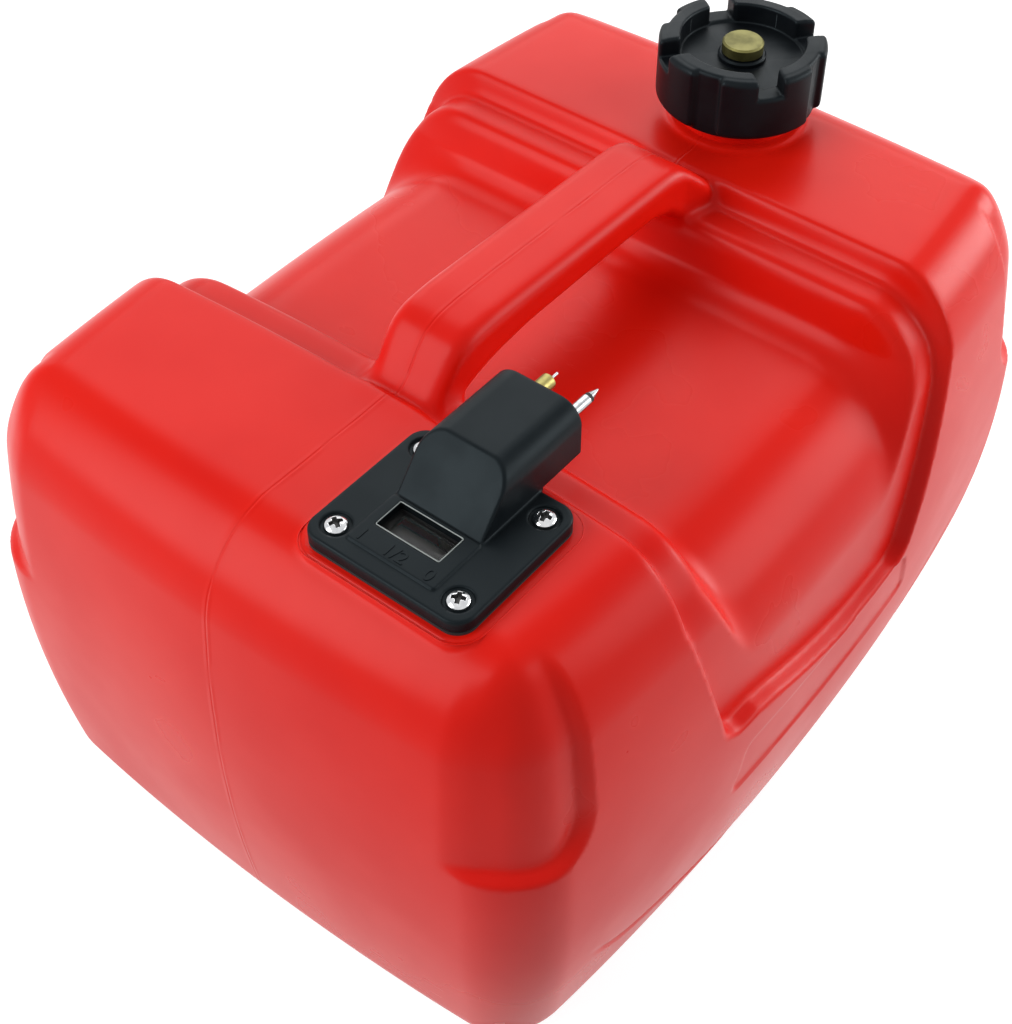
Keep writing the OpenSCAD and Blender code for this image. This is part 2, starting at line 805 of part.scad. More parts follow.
module housing_screws() {
    head_h = 2.3;
    seat = plate_top - head_sink;
    color(chrome) at_screws(seat) difference() {
        union() {
            cylinder(r = head_r, h = head_h * 0.45, $fn = 64);
            translate([0, 0, head_h * 0.45])
                cylinder(r1 = head_r, r2 = head_r * 0.62, h = head_h * 0.55, $fn = 64);
            translate([0, 0, tank_hgt - insert_len + 1.5 - seat])
                cylinder(r = screw_r, h = seat - tank_hgt + insert_len - 1.5 + 0.1, $fn = 48);
        }
        for (a = [0, 90]) rotate([0, 0, a])
            translate([-head_r * 0.55, -0.45, head_h - 1.4]) cube([head_r * 1.1, 0.9, 2]);
    }
}

lens_gap = 0.15;

module window_lens() {
    color(clear) union() {
        window_cut(window_len + 2 * (flange_over - lens_gap),
            window_wid + 2 * (flange_over - lens_gap), plate_z, shoulder_z - frame_t - plate_z);
        window_cut(window_len - 2 * lens_gap, window_wid - 2 * lens_gap,
            plate_z, shoulder_z + 1.4 - plate_z);
    }
}

module lens_seal() {
    color(rubber) difference() {
        window_cut(window_len + 2 * (flange_over - lens_gap),
            window_wid + 2 * (flange_over - lens_gap), shoulder_z - frame_t, frame_t);
        window_cut(window_len, window_wid, shoulder_z - frame_t - 1, frame_t + 2);
    }
}

// ---- Float gauge -----------------------------------------------------------------

bracket_t = 1.5;
ear_t = 2.5;
ear_wid = 9;
drum_z = plate_z - 0.6 - drum_r;
drum_len = window_len - 3.2;
hub_len = 3;
hub_r = 4.2;
side_gap = 0.4;
ear_a = window_y - drum_len / 2 - side_gap - ear_t;
ear_b = window_y + drum_len / 2 + hub_len + side_gap;
arm_y = window_y + drum_len / 2 + hub_len / 2;

module drum_bracket() {
    color(natural) difference() {
        union() {
            at_plate(plate_z - bracket_t) cylinder(r = hole_r - 1.5, h = bracket_t, $fn = 96);
            for (y = [ear_a, ear_b]) translate([window_x, y, 0]) {
                translate([-ear_wid / 2, 0, drum_z])
                    cube([ear_wid, ear_t, plate_z - 0.2 - drum_z]);
                translate([0, 0, drum_z]) along_y()
                    cylinder(r = ear_wid / 2, h = ear_t, $fn = 64);
            }
        }
        window_cut(drum_len + 2 * side_gap, window_wid, plate_z - bracket_t - 1, bracket_t + 2);
        translate([window_x, ear_a - 1, drum_z]) along_y()
            cylinder(r = pivot_r, h = ear_b - ear_a + ear_t + 2, $fn = 48);
        translate([tube_x, nipple_y, plate_z - bracket_t - 1])
            cylinder(r = socket_r + 0.1, h = bracket_t + 2, $fn = 64);
        at_bracket_screws(plate_z - bracket_t - 1) cylinder(r = 1.25, h = bracket_t + 2, $fn = 32);
    }
}

// Where the bracket's two screws stand on the plate
bracket_screw_dx = 12;
bracket_screw_dy = [-15, -5];

module at_bracket_screws(z) {
    for (y = bracket_screw_dy)
        translate([plate_x + bracket_screw_dx, plate_y + y, z]) children();
}

module bracket_screws() {
    color(steel) at_bracket_screws(plate_z - bracket_t - 1.6) difference() {
        union() {
            cylinder(r = 2.2, h = 1.6, $fn = 48);
            cylinder(r = 1.2, h = 1.6 + bracket_t, $fn = 32);
        }
        for (a = [0, 90]) rotate([0, 0, a]) translate([-1.3, -0.25, -1]) cube([2.6, 0.5, 1.8]);
    }
}

module drum_pin() {
    color(steel) translate([window_x, ear_a - 0.8, drum_z]) along_y() union() {
        cylinder(r = pivot_r - 0.02, h = ear_b - ear_a + ear_t + 1.2, $fn = 48);
        cylinder(r = pivot_r + 0.9, h = 0.8, $fn = 48);
    }
}

module indicator_drum() {
    color(natural) difference() {
        translate([window_x, window_y - drum_len / 2, drum_z]) along_y() union() {
            cylinder(r = drum_r, h = drum_len, $fn = 96);
            cylinder(r = hub_r, h = drum_len + hub_len, $fn = 64);
        }
        translate([window_x, window_y - drum_len, drum_z]) along_y()
            cylinder(r = pivot_r + run_gap, h = 2 * drum_len, $fn = 48);
        translate([window_x, arm_y, drum_z]) rotate([0, 90 + float_slope + elbow_lead, 0])
            translate([0, 0, wire_in]) cylinder(r = wire_r + 0.02, h = hub_r, $fn = 32);
    }
}

wire_in = pivot_r + run_gap + 0.4;
elbow_r = 46;
elbow_lead = 52;
float_gap = 1.2;
clip_w = 2;

function about_pivot(r, slope) =
    [window_x + r * cos(slope), arm_y, drum_z - r * sin(slope)];

elbow = about_pivot(elbow_r, float_slope + elbow_lead);
float_mid = about_pivot(float_reach, float_slope);
float_y = arm_y + clip_w + float_gap;

// Straight wire between two points with rounded ends
module wire(a, b) {
    v = b - a;
    translate(a) rotate([0, acos(v.z / norm(v)), atan2(v.y, v.x)])
        cylinder(r = wire_r, h = norm(v), $fn = 32);
}

module float_arm() {
    color(steel) union() {
        wire(about_pivot(wire_in, float_slope + elbow_lead), elbow);
        translate(elbow) sphere(wire_r, $fn = 32);
        wire(elbow, float_mid);
        translate(float_mid) sphere(wire_r, $fn = 32);
        wire(float_mid, float_mid + [0, clip_w * 2 + float_gap * 2 + float_len + 1, 0]);
    }
}

module gauge_float() {
    color(natural) translate([float_mid.x, float_y, float_mid.z]) along_y() difference() {
        union() {
            translate([0, 0, 1]) cylinder(r = float_r, h = float_len - 2, $fn = 96);
            cylinder(r1 = float_r - 1, r2 = float_r, h = 1, $fn = 96);
            translate([0, 0, float_len - 1])
                cylinder(r1 = float_r, r2 = float_r - 1, h = 1, $fn = 96);
        }
        translate([0, 0, -1]) cylinder(r = wire_r + 0.02, h = float_len + 2, $fn = 32);
    }
}

module float_clips() {
    color(steel)
        for (y = [float_y - 0.2 - clip_w / 2, float_y + float_len + 0.2])
            translate([float_mid.x, y, float_mid.z]) along_y() difference() {
                cylinder(r = wire_r + 1.6, h = clip_w / 2, $fn = 48);
                translate([0, 0, -1]) cylinder(r = wire_r + 0.02, h = clip_w + 2, $fn = 32);
            }
}

// ---- Pick-up ---------------------------------------------------------------------

strainer_z = wall + foot_gap;

module pickup_tube() {
    color(natural) translate([tube_x, nipple_y, strainer_z + 4]) difference() {
        cylinder(r = tube_r, h = plate_z - strainer_z - 4, $fn = 64);
        translate([0, 0, -1]) cylinder(r = bore_r, h = plate_z - strainer_z, $fn = 48);
    }
}

module tube_seal() {
    color(rubber) translate([tube_x, nipple_y, plate_z - socket_deep]) difference() {
        cylinder(r = tube_r + 1.65, h = 1.9, $fn = 64);
        translate([0, 0, -1]) cylinder(r = tube_r + 0.02, h = 4, $fn = 64);
    }
}

// Cup of slotted mesh round the foot of the tube
module pickup_strainer() {
    color(black) translate([tube_x, nipple_y, strainer_z]) difference() {
        union() {
            cylinder(r = strainer_r, h = strainer_tall - 3, $fn = 64);
            translate([0, 0, strainer_tall - 3])
                cylinder(r1 = strainer_r, r2 = tube_r + 1.5, h = 3, $fn = 64);
        }
        translate([0, 0, 1.2]) cylinder(r = strainer_r - 1.2, h = strainer_tall - 5.5, $fn = 64);
        translate([0, 0, 1.2]) cylinder(r = tube_r + 0.02, h = strainer_tall, $fn = 64);
        for (a = [0 : 45 : 135], z = [3 : 3 : strainer_tall - 6]) rotate([0, 0, a])
            translate([-strainer_r - 1, -1.6, z]) cube([2 * strainer_r + 2, 3.2, 1.4]);
    }
}

// ---- Fuel fittings ---------------------------------------------------------------

seat_len = 4;
poppet_len = 2;
spring_len = 8;
poppet_r = bore_r - 0.3;
needle_r = 0.5;
needle_hole = 0.9;
needle_out = 4;
nipple_end = block_far + nipple_len;
seat_x = nipple_end - seat_len;
spring_x = seat_x - poppet_len - spring_len - 0.1;

module fuel_nipple() {
    color(brass) translate([0, nipple_y, fitting_z]) difference() {
        union() {
            translate([block_far - nipple_in, 0, 0]) along_x()
                cylinder(r = nipple_base_r, h = nipple_in, $fn = 64);
            translate([block_far, 0, 0]) along_x()
                cylinder(r = nipple_r, h = nipple_len - 0.6, $fn = 64);
            translate([nipple_end - 0.6, 0, 0]) along_x()
                cylinder(r1 = nipple_r, r2 = nipple_r - 0.6, h = 0.6, $fn = 64);
        }
        translate([block_far - nipple_in - 1, 0, 0]) along_x()
            cylinder(r = needle_hole, h = nipple_in + nipple_len + 2, $fn = 32);
        translate([spring_x, 0, 0]) along_x()
            cylinder(r = bore_r, h = seat_x - spring_x, $fn = 48);
    }
}

module check_pin() {
    color(steel) translate([seat_x - poppet_len - 0.1, nipple_y, fitting_z]) along_x() union() {
        cylinder(r = poppet_r, h = poppet_len, $fn = 48);
        cylinder(r = needle_r, h = poppet_len + 0.1 + seat_len + needle_out, $fn = 32);
    }
}

// Coil spring behind the poppet, one unbroken wire with closed ends
module check_spring() {
    turns = 5;
    steps = 12;
    wire_d = 0.4;
    mean_r = poppet_r - wire_d / 2;
    n = turns * steps;
    run = spring_len - wire_d - 0.1;
    color(steel) translate([spring_x + wire_d / 2 + 0.05, nipple_y, fitting_z])
        loft([for (k = [0 : n])
            let (a = k * 360 / steps, x = run * k / n)
                [for (b = [0 : 60 : 300])
                    let (rr = mean_r + wire_d / 2 * cos(b))
                        [x + wire_d / 2 * sin(b), rr * cos(a), rr * sin(a)]]]);
}

guide_end = block_far + guide_len;
tip_len = 4.5;
groove_w = 1.5;
groove_deep = 0.7;
seal_sink = 0.2;
tip_r = 0.35;
groove_x = guide_end - tip_len - groove_w;

// Root in the block, plain shaft, seal groove and pointed tip
module guide_pin() {
    color(steel) translate([0, guide_y, fitting_z]) union() {
        translate([block_far - guide_in, 0, 0]) along_x()
            cylinder(r = guide_base_r, h = guide_in, $fn = 64);
        translate([block_far, 0, 0]) along_x()
            cylinder(r = guide_r, h = groove_x - block_far, $fn = 64);
        translate([groove_x, 0, 0]) along_x()
            cylinder(r = guide_r - groove_deep, h = groove_w, $fn = 64);
        translate([groove_x + groove_w, 0, 0]) along_x()
            cylinder(r1 = guide_r - seal_sink, r2 = tip_r, h = tip_len, $fn = 64);
    }
}

// The ring is drawn as a connector's socket squeezes it, just below the shaft's radius
module guide_seal() {
    color(rubber) translate([groove_x + 0.05, guide_y, fitting_z]) along_x() difference() {
        cylinder(r = guide_r - seal_sink, h = groove_w - 0.1, $fn = 64);
        translate([0, 0, -1])
            cylinder(r = guide_r - groove_deep + 0.02, h = groove_w + 2, $fn = 64);
    }
}

// ---- Output ----------------------------------------------------------------------

tank_body();
tank_upper();
carry_handle();
filler_neck();
plate_gasket();
screw_inserts();
gauge_housing();
housing_screws();
window_lens();
lens_seal();
drum_bracket();
bracket_screws();
drum_pin();
indicator_drum();
float_arm();
gauge_float();
float_clips();
pickup_tube();
tube_seal();
pickup_strainer();
fuel_nipple();
check_pin();
check_spring();
guide_pin();
guide_seal();
filler_cap();
cap_gasket();
vent_boss();
vent_screw();
vent_seal();
vent_clip();
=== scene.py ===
"""Looks of the portable fuel tank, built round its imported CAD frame.

Every moulded part is one closed field (distance in millimetres, negative inside)
that is turned into a smooth mesh, so blends, rounded rims and recesses come out as
they do in a mould. Small turned and bent parts keep their CAD shape and get a
procedural finish here. Fields and the sizes of sub-assemblies are in millimetres. The
finishes, their node groups and the studio are in metres.
"""

import logging
import math
from collections.abc import Callable, Sequence
from dataclasses import dataclass
from enum import Enum

import bpy
import numpy as np
import openvdb
from mathutils import Matrix, Vector

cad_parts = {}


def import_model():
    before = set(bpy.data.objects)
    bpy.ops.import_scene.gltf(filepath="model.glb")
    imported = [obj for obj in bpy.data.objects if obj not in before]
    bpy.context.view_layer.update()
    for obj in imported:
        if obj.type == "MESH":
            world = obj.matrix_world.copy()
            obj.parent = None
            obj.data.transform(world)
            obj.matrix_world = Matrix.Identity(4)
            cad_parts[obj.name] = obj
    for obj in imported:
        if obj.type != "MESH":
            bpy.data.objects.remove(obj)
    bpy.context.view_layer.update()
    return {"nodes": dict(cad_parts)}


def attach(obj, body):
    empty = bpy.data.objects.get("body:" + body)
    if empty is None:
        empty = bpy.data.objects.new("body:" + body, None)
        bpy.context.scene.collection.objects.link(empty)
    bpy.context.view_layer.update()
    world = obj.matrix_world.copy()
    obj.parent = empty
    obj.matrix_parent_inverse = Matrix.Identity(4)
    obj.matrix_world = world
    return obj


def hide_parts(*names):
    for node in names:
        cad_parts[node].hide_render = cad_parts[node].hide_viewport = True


LOG = logging.getLogger("fuel_tank")
MM = 0.001

# Height and places that several sub-assemblies share, in mm
TANK_TOP = 203.0
CAP_X = 126.0
GAUGE_X, GAUGE_Y = -121.0, -54.0

Array = np.ndarray
Pair = tuple[float, float]
Triple = tuple[float, float, float]
Field = Callable[[Array, Array, Array], Array]


class Body(str, Enum):
    """CAD bodies that the scene's own pieces ride on."""

    TANK = "tank"
    CAP = "filler_cap"


# ---- Field arithmetic ---------------------------------------------------------------


def eased(t: Array) -> Array:
    """Smooth step that rises from 0 to 1 as t does."""
    t = np.clip(t, 0.0, 1.0)
    return t * t * (3.0 - 2.0 * t)


def joined(a: Array, b: Array, k: float | Array) -> Array:
    """Union of two fields with a fillet that reaches k mm."""
    h = np.clip(0.5 + 0.5 * (b - a) / k, 0.0, 1.0)
    return b + (a - b) * h - k * h * (1.0 - h)


def common(a: Array, b: Array, k: float) -> Array:
    """Intersection of two fields with a rounding that reaches k mm."""
    return -joined(-a, -b, k)


def corner(a: Array, b: Array, r: float | Array) -> Array:
    """Intersection of two half spaces with a round of exactly radius r."""
    p, q = a + r, b + r
    return np.hypot(np.maximum(p, 0), np.maximum(q, 0)) + np.minimum(np.maximum(p, q), 0) - r


def rounded_rect(x: Array, y: Array, half_x: float, half_y: float, r: float) -> Array:
    """Distance to a rectangle about the origin with corners of radius r."""
    return corner(np.abs(x) - half_x, np.abs(y) - half_y, r)


def slab(plan: Array, z: Array, low: float, high: float, r: float) -> Array:
    """A plan outline raised from low to high, both rims of radius r."""
    return corner(plan, np.maximum(low - z, z - high), r)


def smoothed_table(rows: Sequence[Sequence[float]], sigma: float) -> Callable[[Array], Array]:
    """A table of values by position, softened so that it has no corners.

    Args:
        rows: Pairs of position and value, in rising order.
        sigma: Width of the softening in mm.

    Returns:
        A function from positions to softened values.
    """
    spacing, margin = 0.1, 4 * sigma
    steps_per_sigma, steps = 10, 30
    at, value = np.array(rows, float).T
    grid = np.arange(at[0] - margin, at[-1] + margin, spacing)
    raw = np.interp(grid, at, value)
    reach = np.arange(-steps, steps + 1) * (sigma / steps_per_sigma)
    weight = np.exp(-0.5 * (reach / sigma) ** 2)
    weight /= weight.sum()
    soft = sum(w * np.interp(grid + d, grid, raw) for w, d in zip(weight, reach))
    return lambda q: np.interp(q, grid, soft)


def within(distance: Array, start: float, width: float) -> Array:
    """Share that rises to 1 over a width as a distance falls from start."""
    return eased((start - distance) / width)


# ---- Meshes from fields -------------------------------------------------------------


@dataclass(frozen=True)
class Moulding:
    """A field that is turned into a mesh object.

    Attributes:
        name: Name of the piece.
        shape: Its field in mm.
        low: Lowest corner of a box round it, in mm.
        high: Highest corner of that box, in mm.
        cell: Spacing of the sampling grid in mm.
    """

    name: str
    shape: Field
    low: Triple
    high: Triple
    cell: float

    # Lengths here are in cells
    BAND_CELLS = 3
    PROBE = 0.04
    LONGEST_MOVE = 0.5
    LEAST_SLOPE = 0.05
    ROUNDS = 4
    LAYERS_AT_ONCE = 24

    def _sampled(self) -> Array:
        """Returns the field on the whole grid, clipped to a narrow band."""
        xs, ys, zs = (np.arange(float(a), b + self.cell, self.cell)
                      for a, b in zip(self.low, self.high))
        band = self.BAND_CELLS * self.cell
        out = np.empty((len(xs), len(ys), len(zs)), np.float32)
        for start in range(0, len(xs), self.LAYERS_AT_ONCE):
            layers = slice(start, start + self.LAYERS_AT_ONCE)
            x, y, z = np.meshgrid(xs[layers], ys, zs, indexing="ij")
            out[layers] = np.clip(self.shape(x, y, z), -band, band)
        return out

    def _settled(self, points: Array) -> Array:
        """Moves points onto the field's exact surface.

        Args:
            points: Points near the surface, in mm.

        Returns:
            Points on the surface.
        """
        step = self.PROBE * self.cell
        for _ in range(self.ROUNDS):
            x, y, z = points.T
            value = self.shape(x, y, z)
            slope = np.stack([
                self.shape(x + step, y, z) - self.shape(x - step, y, z),
                self.shape(x, y + step, z) - self.shape(x, y - step, z),
                self.shape(x, y, z + step) - self.shape(x, y, z - step),
            ], axis=1) / (2 * step)
            size = np.maximum((slope**2).sum(1), self.LEAST_SLOPE)
            move = -(value / size)[:, None] * slope
            length = np.maximum(np.linalg.norm(move, axis=1, keepdims=True), 1e-9)
            points = points + move * np.minimum(1, self.LONGEST_MOVE * self.cell / length)
        return points

    def surface(self) -> tuple[Array, Array]:
        """Returns the corners in mm and the four-sided faces of the whole surface."""
        grid = openvdb.FloatGrid(self.BAND_CELLS * self.cell)
        grid.copyFromArray(self._sampled())
        points, quads = grid.convertToQuads(0.0)
        points = self._settled(np.array(self.low) + np.asarray(points, float) * self.cell)
        quads = np.asarray(quads, np.int64)
        a, b, c = (points[quads[:, k]] for k in (0, 1, 2))
        if (np.cross(b - a, c - a) * (a - points.mean(0))).sum() < 0:
            quads = quads[:, ::-1]
        return points, quads

    def build(self, keep: Callable[[Array], Array] | None = None) -> bpy.types.Object:
        """Builds the object.

        Args:
            keep: Picks the faces to keep from the middles of all faces, in mm.

        Returns:
            The mesh object, shaded smooth.
        """
        points, quads = self.surface()
        if keep is not None:
            quads = quads[keep(points[quads].mean(1))]
            used, quads = np.unique(quads, return_inverse=True)
            points, quads = points[used], quads.reshape(-1, 4)
        return mesh_object(self.name, points * MM, quads)


def linked(name: str, data: bpy.types.ID) -> bpy.types.Object:
    """Makes an object of its data and links it to the scene."""
    made = bpy.data.objects.new(name, data)
    bpy.context.scene.collection.objects.link(made)
    return made


def mesh_object(name: str, points: Array, faces: Array) -> bpy.types.Object:
    """A smooth-shaded mesh object from arrays.

    Args:
        name: Name of the object.
        points: Vertices in metres.
        faces: Faces as rows of vertex numbers.

    Returns:
        The linked object.
    """
    mesh = bpy.data.meshes.new(name)
    count, sides = faces.shape
    mesh.vertices.add(len(points))
    mesh.vertices.foreach_set("co", points.astype(np.float32).ravel())
    mesh.loops.add(count * sides)
    mesh.loops.foreach_set("vertex_index", faces.astype(np.int32).ravel())
    mesh.polygons.add(count)
    mesh.polygons.foreach_set("loop_start", np.arange(0, count * sides, sides, dtype=np.int32))
    mesh.polygons.foreach_set("use_smooth", np.ones(count, bool))
    mesh.update(calc_edges=True)
    mesh.validate()
    LOG.info("%s: %d faces", name, count)
    return linked(name, mesh)


def rounded_line(mid_x: float, mid_y: float, half_x: float, half_y: float,
                 r: float) -> tuple[Array, Array]:
    """Points on the outline of a rounded rectangle.

    Args:
        mid_x: Its middle along x in mm.
        mid_y: Its middle along y in mm.
        half_x: Half of its length along x.
        half_y: Half of its length along y.
        r: Corner radius.

    Returns:
        The points in mm and the outward directions there, in plan.
    """
    points_per_corner = 13
    points, outward = [], []
    for quarter, (sx, sy) in enumerate(((1, 1), (-1, 1), (-1, -1), (1, -1))):
        centre = np.array([mid_x + sx * (half_x - r), mid_y + sy * (half_y - r)])
        for a in np.radians(np.linspace(0, 90, points_per_corner) + 90 * quarter):
            way = np.array([math.cos(a), math.sin(a)])
            points.append(centre + r * way)
            outward.append(way)
    return np.array(points), np.array(outward)


def swept_ring(name: str, points: Array, outward: Array, z: float, r: float) -> bpy.types.Object:
    """A thin closed bead along a level line.

    Args:
        name: Name of the piece.
        points: Points of the line in plan, in mm.
        outward: Directions across the line at those points.
        z: Height of the line in mm.
        r: Radius of the bead in mm.

    Returns:
        The mesh object.
    """
    n, m = len(points), 10
    turns = np.linspace(0, 2 * math.pi, m, endpoint=False)
    ring = np.empty((n, m, 3))
    ring[:, :, :2] = points[:, None] + r * np.cos(turns)[None, :, None] * outward[:, None]
    ring[:, :, 2] = z + r * np.sin(turns)[None, :]
    k, j = np.meshgrid(np.arange(n), np.arange(m), indexing="ij")
    after, beside = (k + 1) % n, (j + 1) % m
    quads = np.stack([k * m + j, after * m + j, after * m + beside, k * m + beside], axis=-1)
    return mesh_object(name, ring.reshape(-1, 3) * MM, quads.reshape(-1, 4))


# ---- Materials ----------------------------------------------------------------------


@dataclass(frozen=True)
class Finish:
    """Look of one material.

    Attributes:
        base: Linear base colour.
        shade: Second colour that the mottling mixes in.
        roughness: Middle of the roughness.
        roughness_spread: How far the roughness wanders up and down.
        metallic: 1 for bare metal.
        mottle_scale: Waves of mottling per metre.
        grain_scale: Grains per metre.
        grain_height: Height of the grain in metres.
        scratch: Share of scratches, from 0 to 1.
        alpha: Opacity.
        specular: Level of the plain reflection, where 0.5 is that of plastic or glass.
        seam: Height of a parting line along y = 0, in grains.
        tint: Triple of the plain reflection.
    """

    base: Triple
    shade: Triple
    roughness: float = 0.4
    roughness_spread: float = 0.06
    metallic: float = 0.0
    mottle_scale: float = 14.0
    grain_scale: float = 900.0
    grain_height: float = 0.00001
    scratch: float = 0.0
    alpha: float = 1.0
    specular: float = 0.5
    seam: float = 0.0
    tint: Triple = (1.0, 1.0, 1.0)


FINISHES: dict[str, Finish] = {
    "tank": Finish((0.74, 0.0105, 0.0035), (0.66, 0.0070, 0.0030), 0.31, 0.05,
                   mottle_scale=9, grain_scale=700, grain_height=0.000012, scratch=0.07,
                   specular=0.14, seam=11.0),
    "black": Finish((0.0035, 0.0052, 0.0066), (0.0050, 0.0068, 0.0082), 0.40, 0.06,
                    mottle_scale=60, grain_scale=2600, grain_height=0.000006, scratch=0.12,
                    specular=0.11, tint=(0.78, 0.98, 1.06)),
    "cap": Finish((0.0032, 0.0040, 0.0054), (0.0050, 0.0060, 0.0074), 0.42, 0.06,
                  mottle_scale=60, grain_scale=2400, grain_height=0.000007, scratch=0.1,
                  specular=0.12, tint=(0.78, 0.98, 1.06)),
    # recess: near-black finish for the screws' driver recesses, painted shade for the shadow
    # that falls in them
    "recess": Finish((0.02, 0.02, 0.021), (0.03, 0.03, 0.03), 0.5, 0.05),
    "rubber": Finish((0.008, 0.008, 0.009), (0.014, 0.014, 0.015), 0.7, 0.06),
    "brass": Finish((0.34, 0.29, 0.10), (0.24, 0.21, 0.08), 0.38, 0.08, 1.0,
                    mottle_scale=300, grain_scale=3000, grain_height=0.000004),
    "knob": Finish((0.16, 0.148, 0.052), (0.12, 0.112, 0.044), 0.5, 0.08, 1.0,
                   mottle_scale=140, grain_scale=3600, grain_height=0.000006),
    "steel": Finish((0.44, 0.45, 0.46), (0.32, 0.33, 0.34), 0.24, 0.06, 1.0,
                    mottle_scale=300, grain_scale=3600, grain_height=0.000003),
    "chrome": Finish((0.72, 0.73, 0.74), (0.58, 0.59, 0.61), 0.12, 0.04, 1.0,
                     mottle_scale=400, grain_scale=3000, grain_height=0.000002),
    "natural": Finish((0.72, 0.71, 0.64), (0.62, 0.61, 0.54), 0.45, 0.06),
    "drum": Finish((0.012, 0.012, 0.013), (0.02, 0.02, 0.02), 0.45, 0.06),
    "float": Finish((0.70, 0.64, 0.48), (0.58, 0.52, 0.38), 0.8, 0.05,
                    mottle_scale=260, grain_scale=900, grain_height=0.00006),
    "mesh": Finish((0.03, 0.03, 0.035), (0.05, 0.05, 0.055), 0.6, 0.06),
    # lip: pale grey finish on the thin bead round the window, a painted highlight along a real
    # edge
    "lip": Finish((0.30, 0.33, 0.32), (0.22, 0.25, 0.24), 0.25, 0.05,
                  mottle_scale=300, grain_scale=2600, grain_height=0.000003),
    "clear": Finish((0.03, 0.03, 0.03), (0.05, 0.05, 0.05), 0.08, 0.02, alpha=0.07),
}


class Tree:
    """Short way to build a node tree."""

    def __init__(self, tree: bpy.types.NodeTree) -> None:
        """Wraps a node tree."""
        self.tree = tree

    def node(self, kind: str, **settings: object) -> bpy.types.Node:
        """Adds a node.

        Args:
            kind: Its bl_idname.
            **settings: Attributes of the node. The key "inputs" holds a value or a
                socket for each input that is named there.

        Returns:
            The node.
        """
        made = self.tree.nodes.new(kind)
        inputs = settings.pop("inputs", {})
        for key, value in settings.items():
            setattr(made, key, value)
        self.give(made, inputs)
        return made

    def give(self, node: bpy.types.Node, inputs: dict[str | int, object]) -> None:
        """Fills inputs of a node.

        Args:
            node: The node.
            inputs: A value or a socket for each input, by name or number.
        """
        for socket, given in inputs.items():
            if isinstance(given, bpy.types.NodeSocket):
                self.tree.links.new(given, node.inputs[socket])
            else:
                node.inputs[socket].default_value = given

    def math(self, operation: str, *values: object) -> bpy.types.NodeSocket:
        """Adds a math node on numbers or sockets and returns its output."""
        made = self.node("ShaderNodeMath", operation=operation,
                         inputs=dict(enumerate(values)))
        return made.outputs[0]

    def place(self) -> bpy.types.NodeSocket:
        """Returns the place on the piece in its own metres."""
        return self.node("ShaderNodeTexCoord").outputs["Object"]

    def noise(self, place: bpy.types.NodeSocket, scale: float | bpy.types.NodeSocket,
              detail: float, roughness: float = 0.5) -> bpy.types.NodeSocket:
        """Adds a noise texture read at a place and returns its value, 0 to 1."""
        made = self.node("ShaderNodeTexNoise", inputs={
            "Vector": place, "Scale": scale, "Detail": detail, "Roughness": roughness})
        return made.outputs["Fac"]

    def ramp(self, value: bpy.types.NodeSocket, low: float, high: float) -> bpy.types.NodeSocket:
        """Eased share that is 0 where a value is low and 1 where it is high."""
        made = self.node("ShaderNodeMapRange", interpolation_type="SMOOTHSTEP",
                         inputs={"Value": value, "From Min": low, "From Max": high})
        return made.outputs["Result"]

    def seen(self) -> bpy.types.NodeSocket:
        """Returns 1 for rays that see a surface, and 0 for those that it lights."""
        rays = self.node("ShaderNodeLightPath").outputs
        direct = self.math("MAXIMUM", rays["Is Camera Ray"], rays["Is Glossy Ray"])
        return self.math("MAXIMUM", direct, rays["Is Transmission Ray"])


class Effect:
    """A shader node group with one number in and one number out."""

    def __init__(self, name: str, given: str, default: float, result: str) -> None:
        """Makes the empty group.

        Args:
            name: Name of the group.
            given: Name of its input.
            default: Value of that input where none is set.
            result: Name of its output.
        """
        self.group = bpy.data.node_groups.new(name, "ShaderNodeTree")
        self.result = result
        kind = "NodeSocketFloat"
        socket = self.group.interface.new_socket(given, in_out="INPUT", socket_type=kind)
        socket.default_value = default
        self.group.interface.new_socket(result, in_out="OUTPUT", socket_type=kind)
        self.tree = Tree(self.group)
        self.given = self.tree.node("NodeGroupInput").outputs[given]
        self.place = self.tree.place()

    def gives(self, value: bpy.types.NodeSocket) -> bpy.types.NodeTree:
        """Sends a value out of the group and returns the finished group."""
        self.tree.node("NodeGroupOutput", inputs={self.result: value})
        return self.group


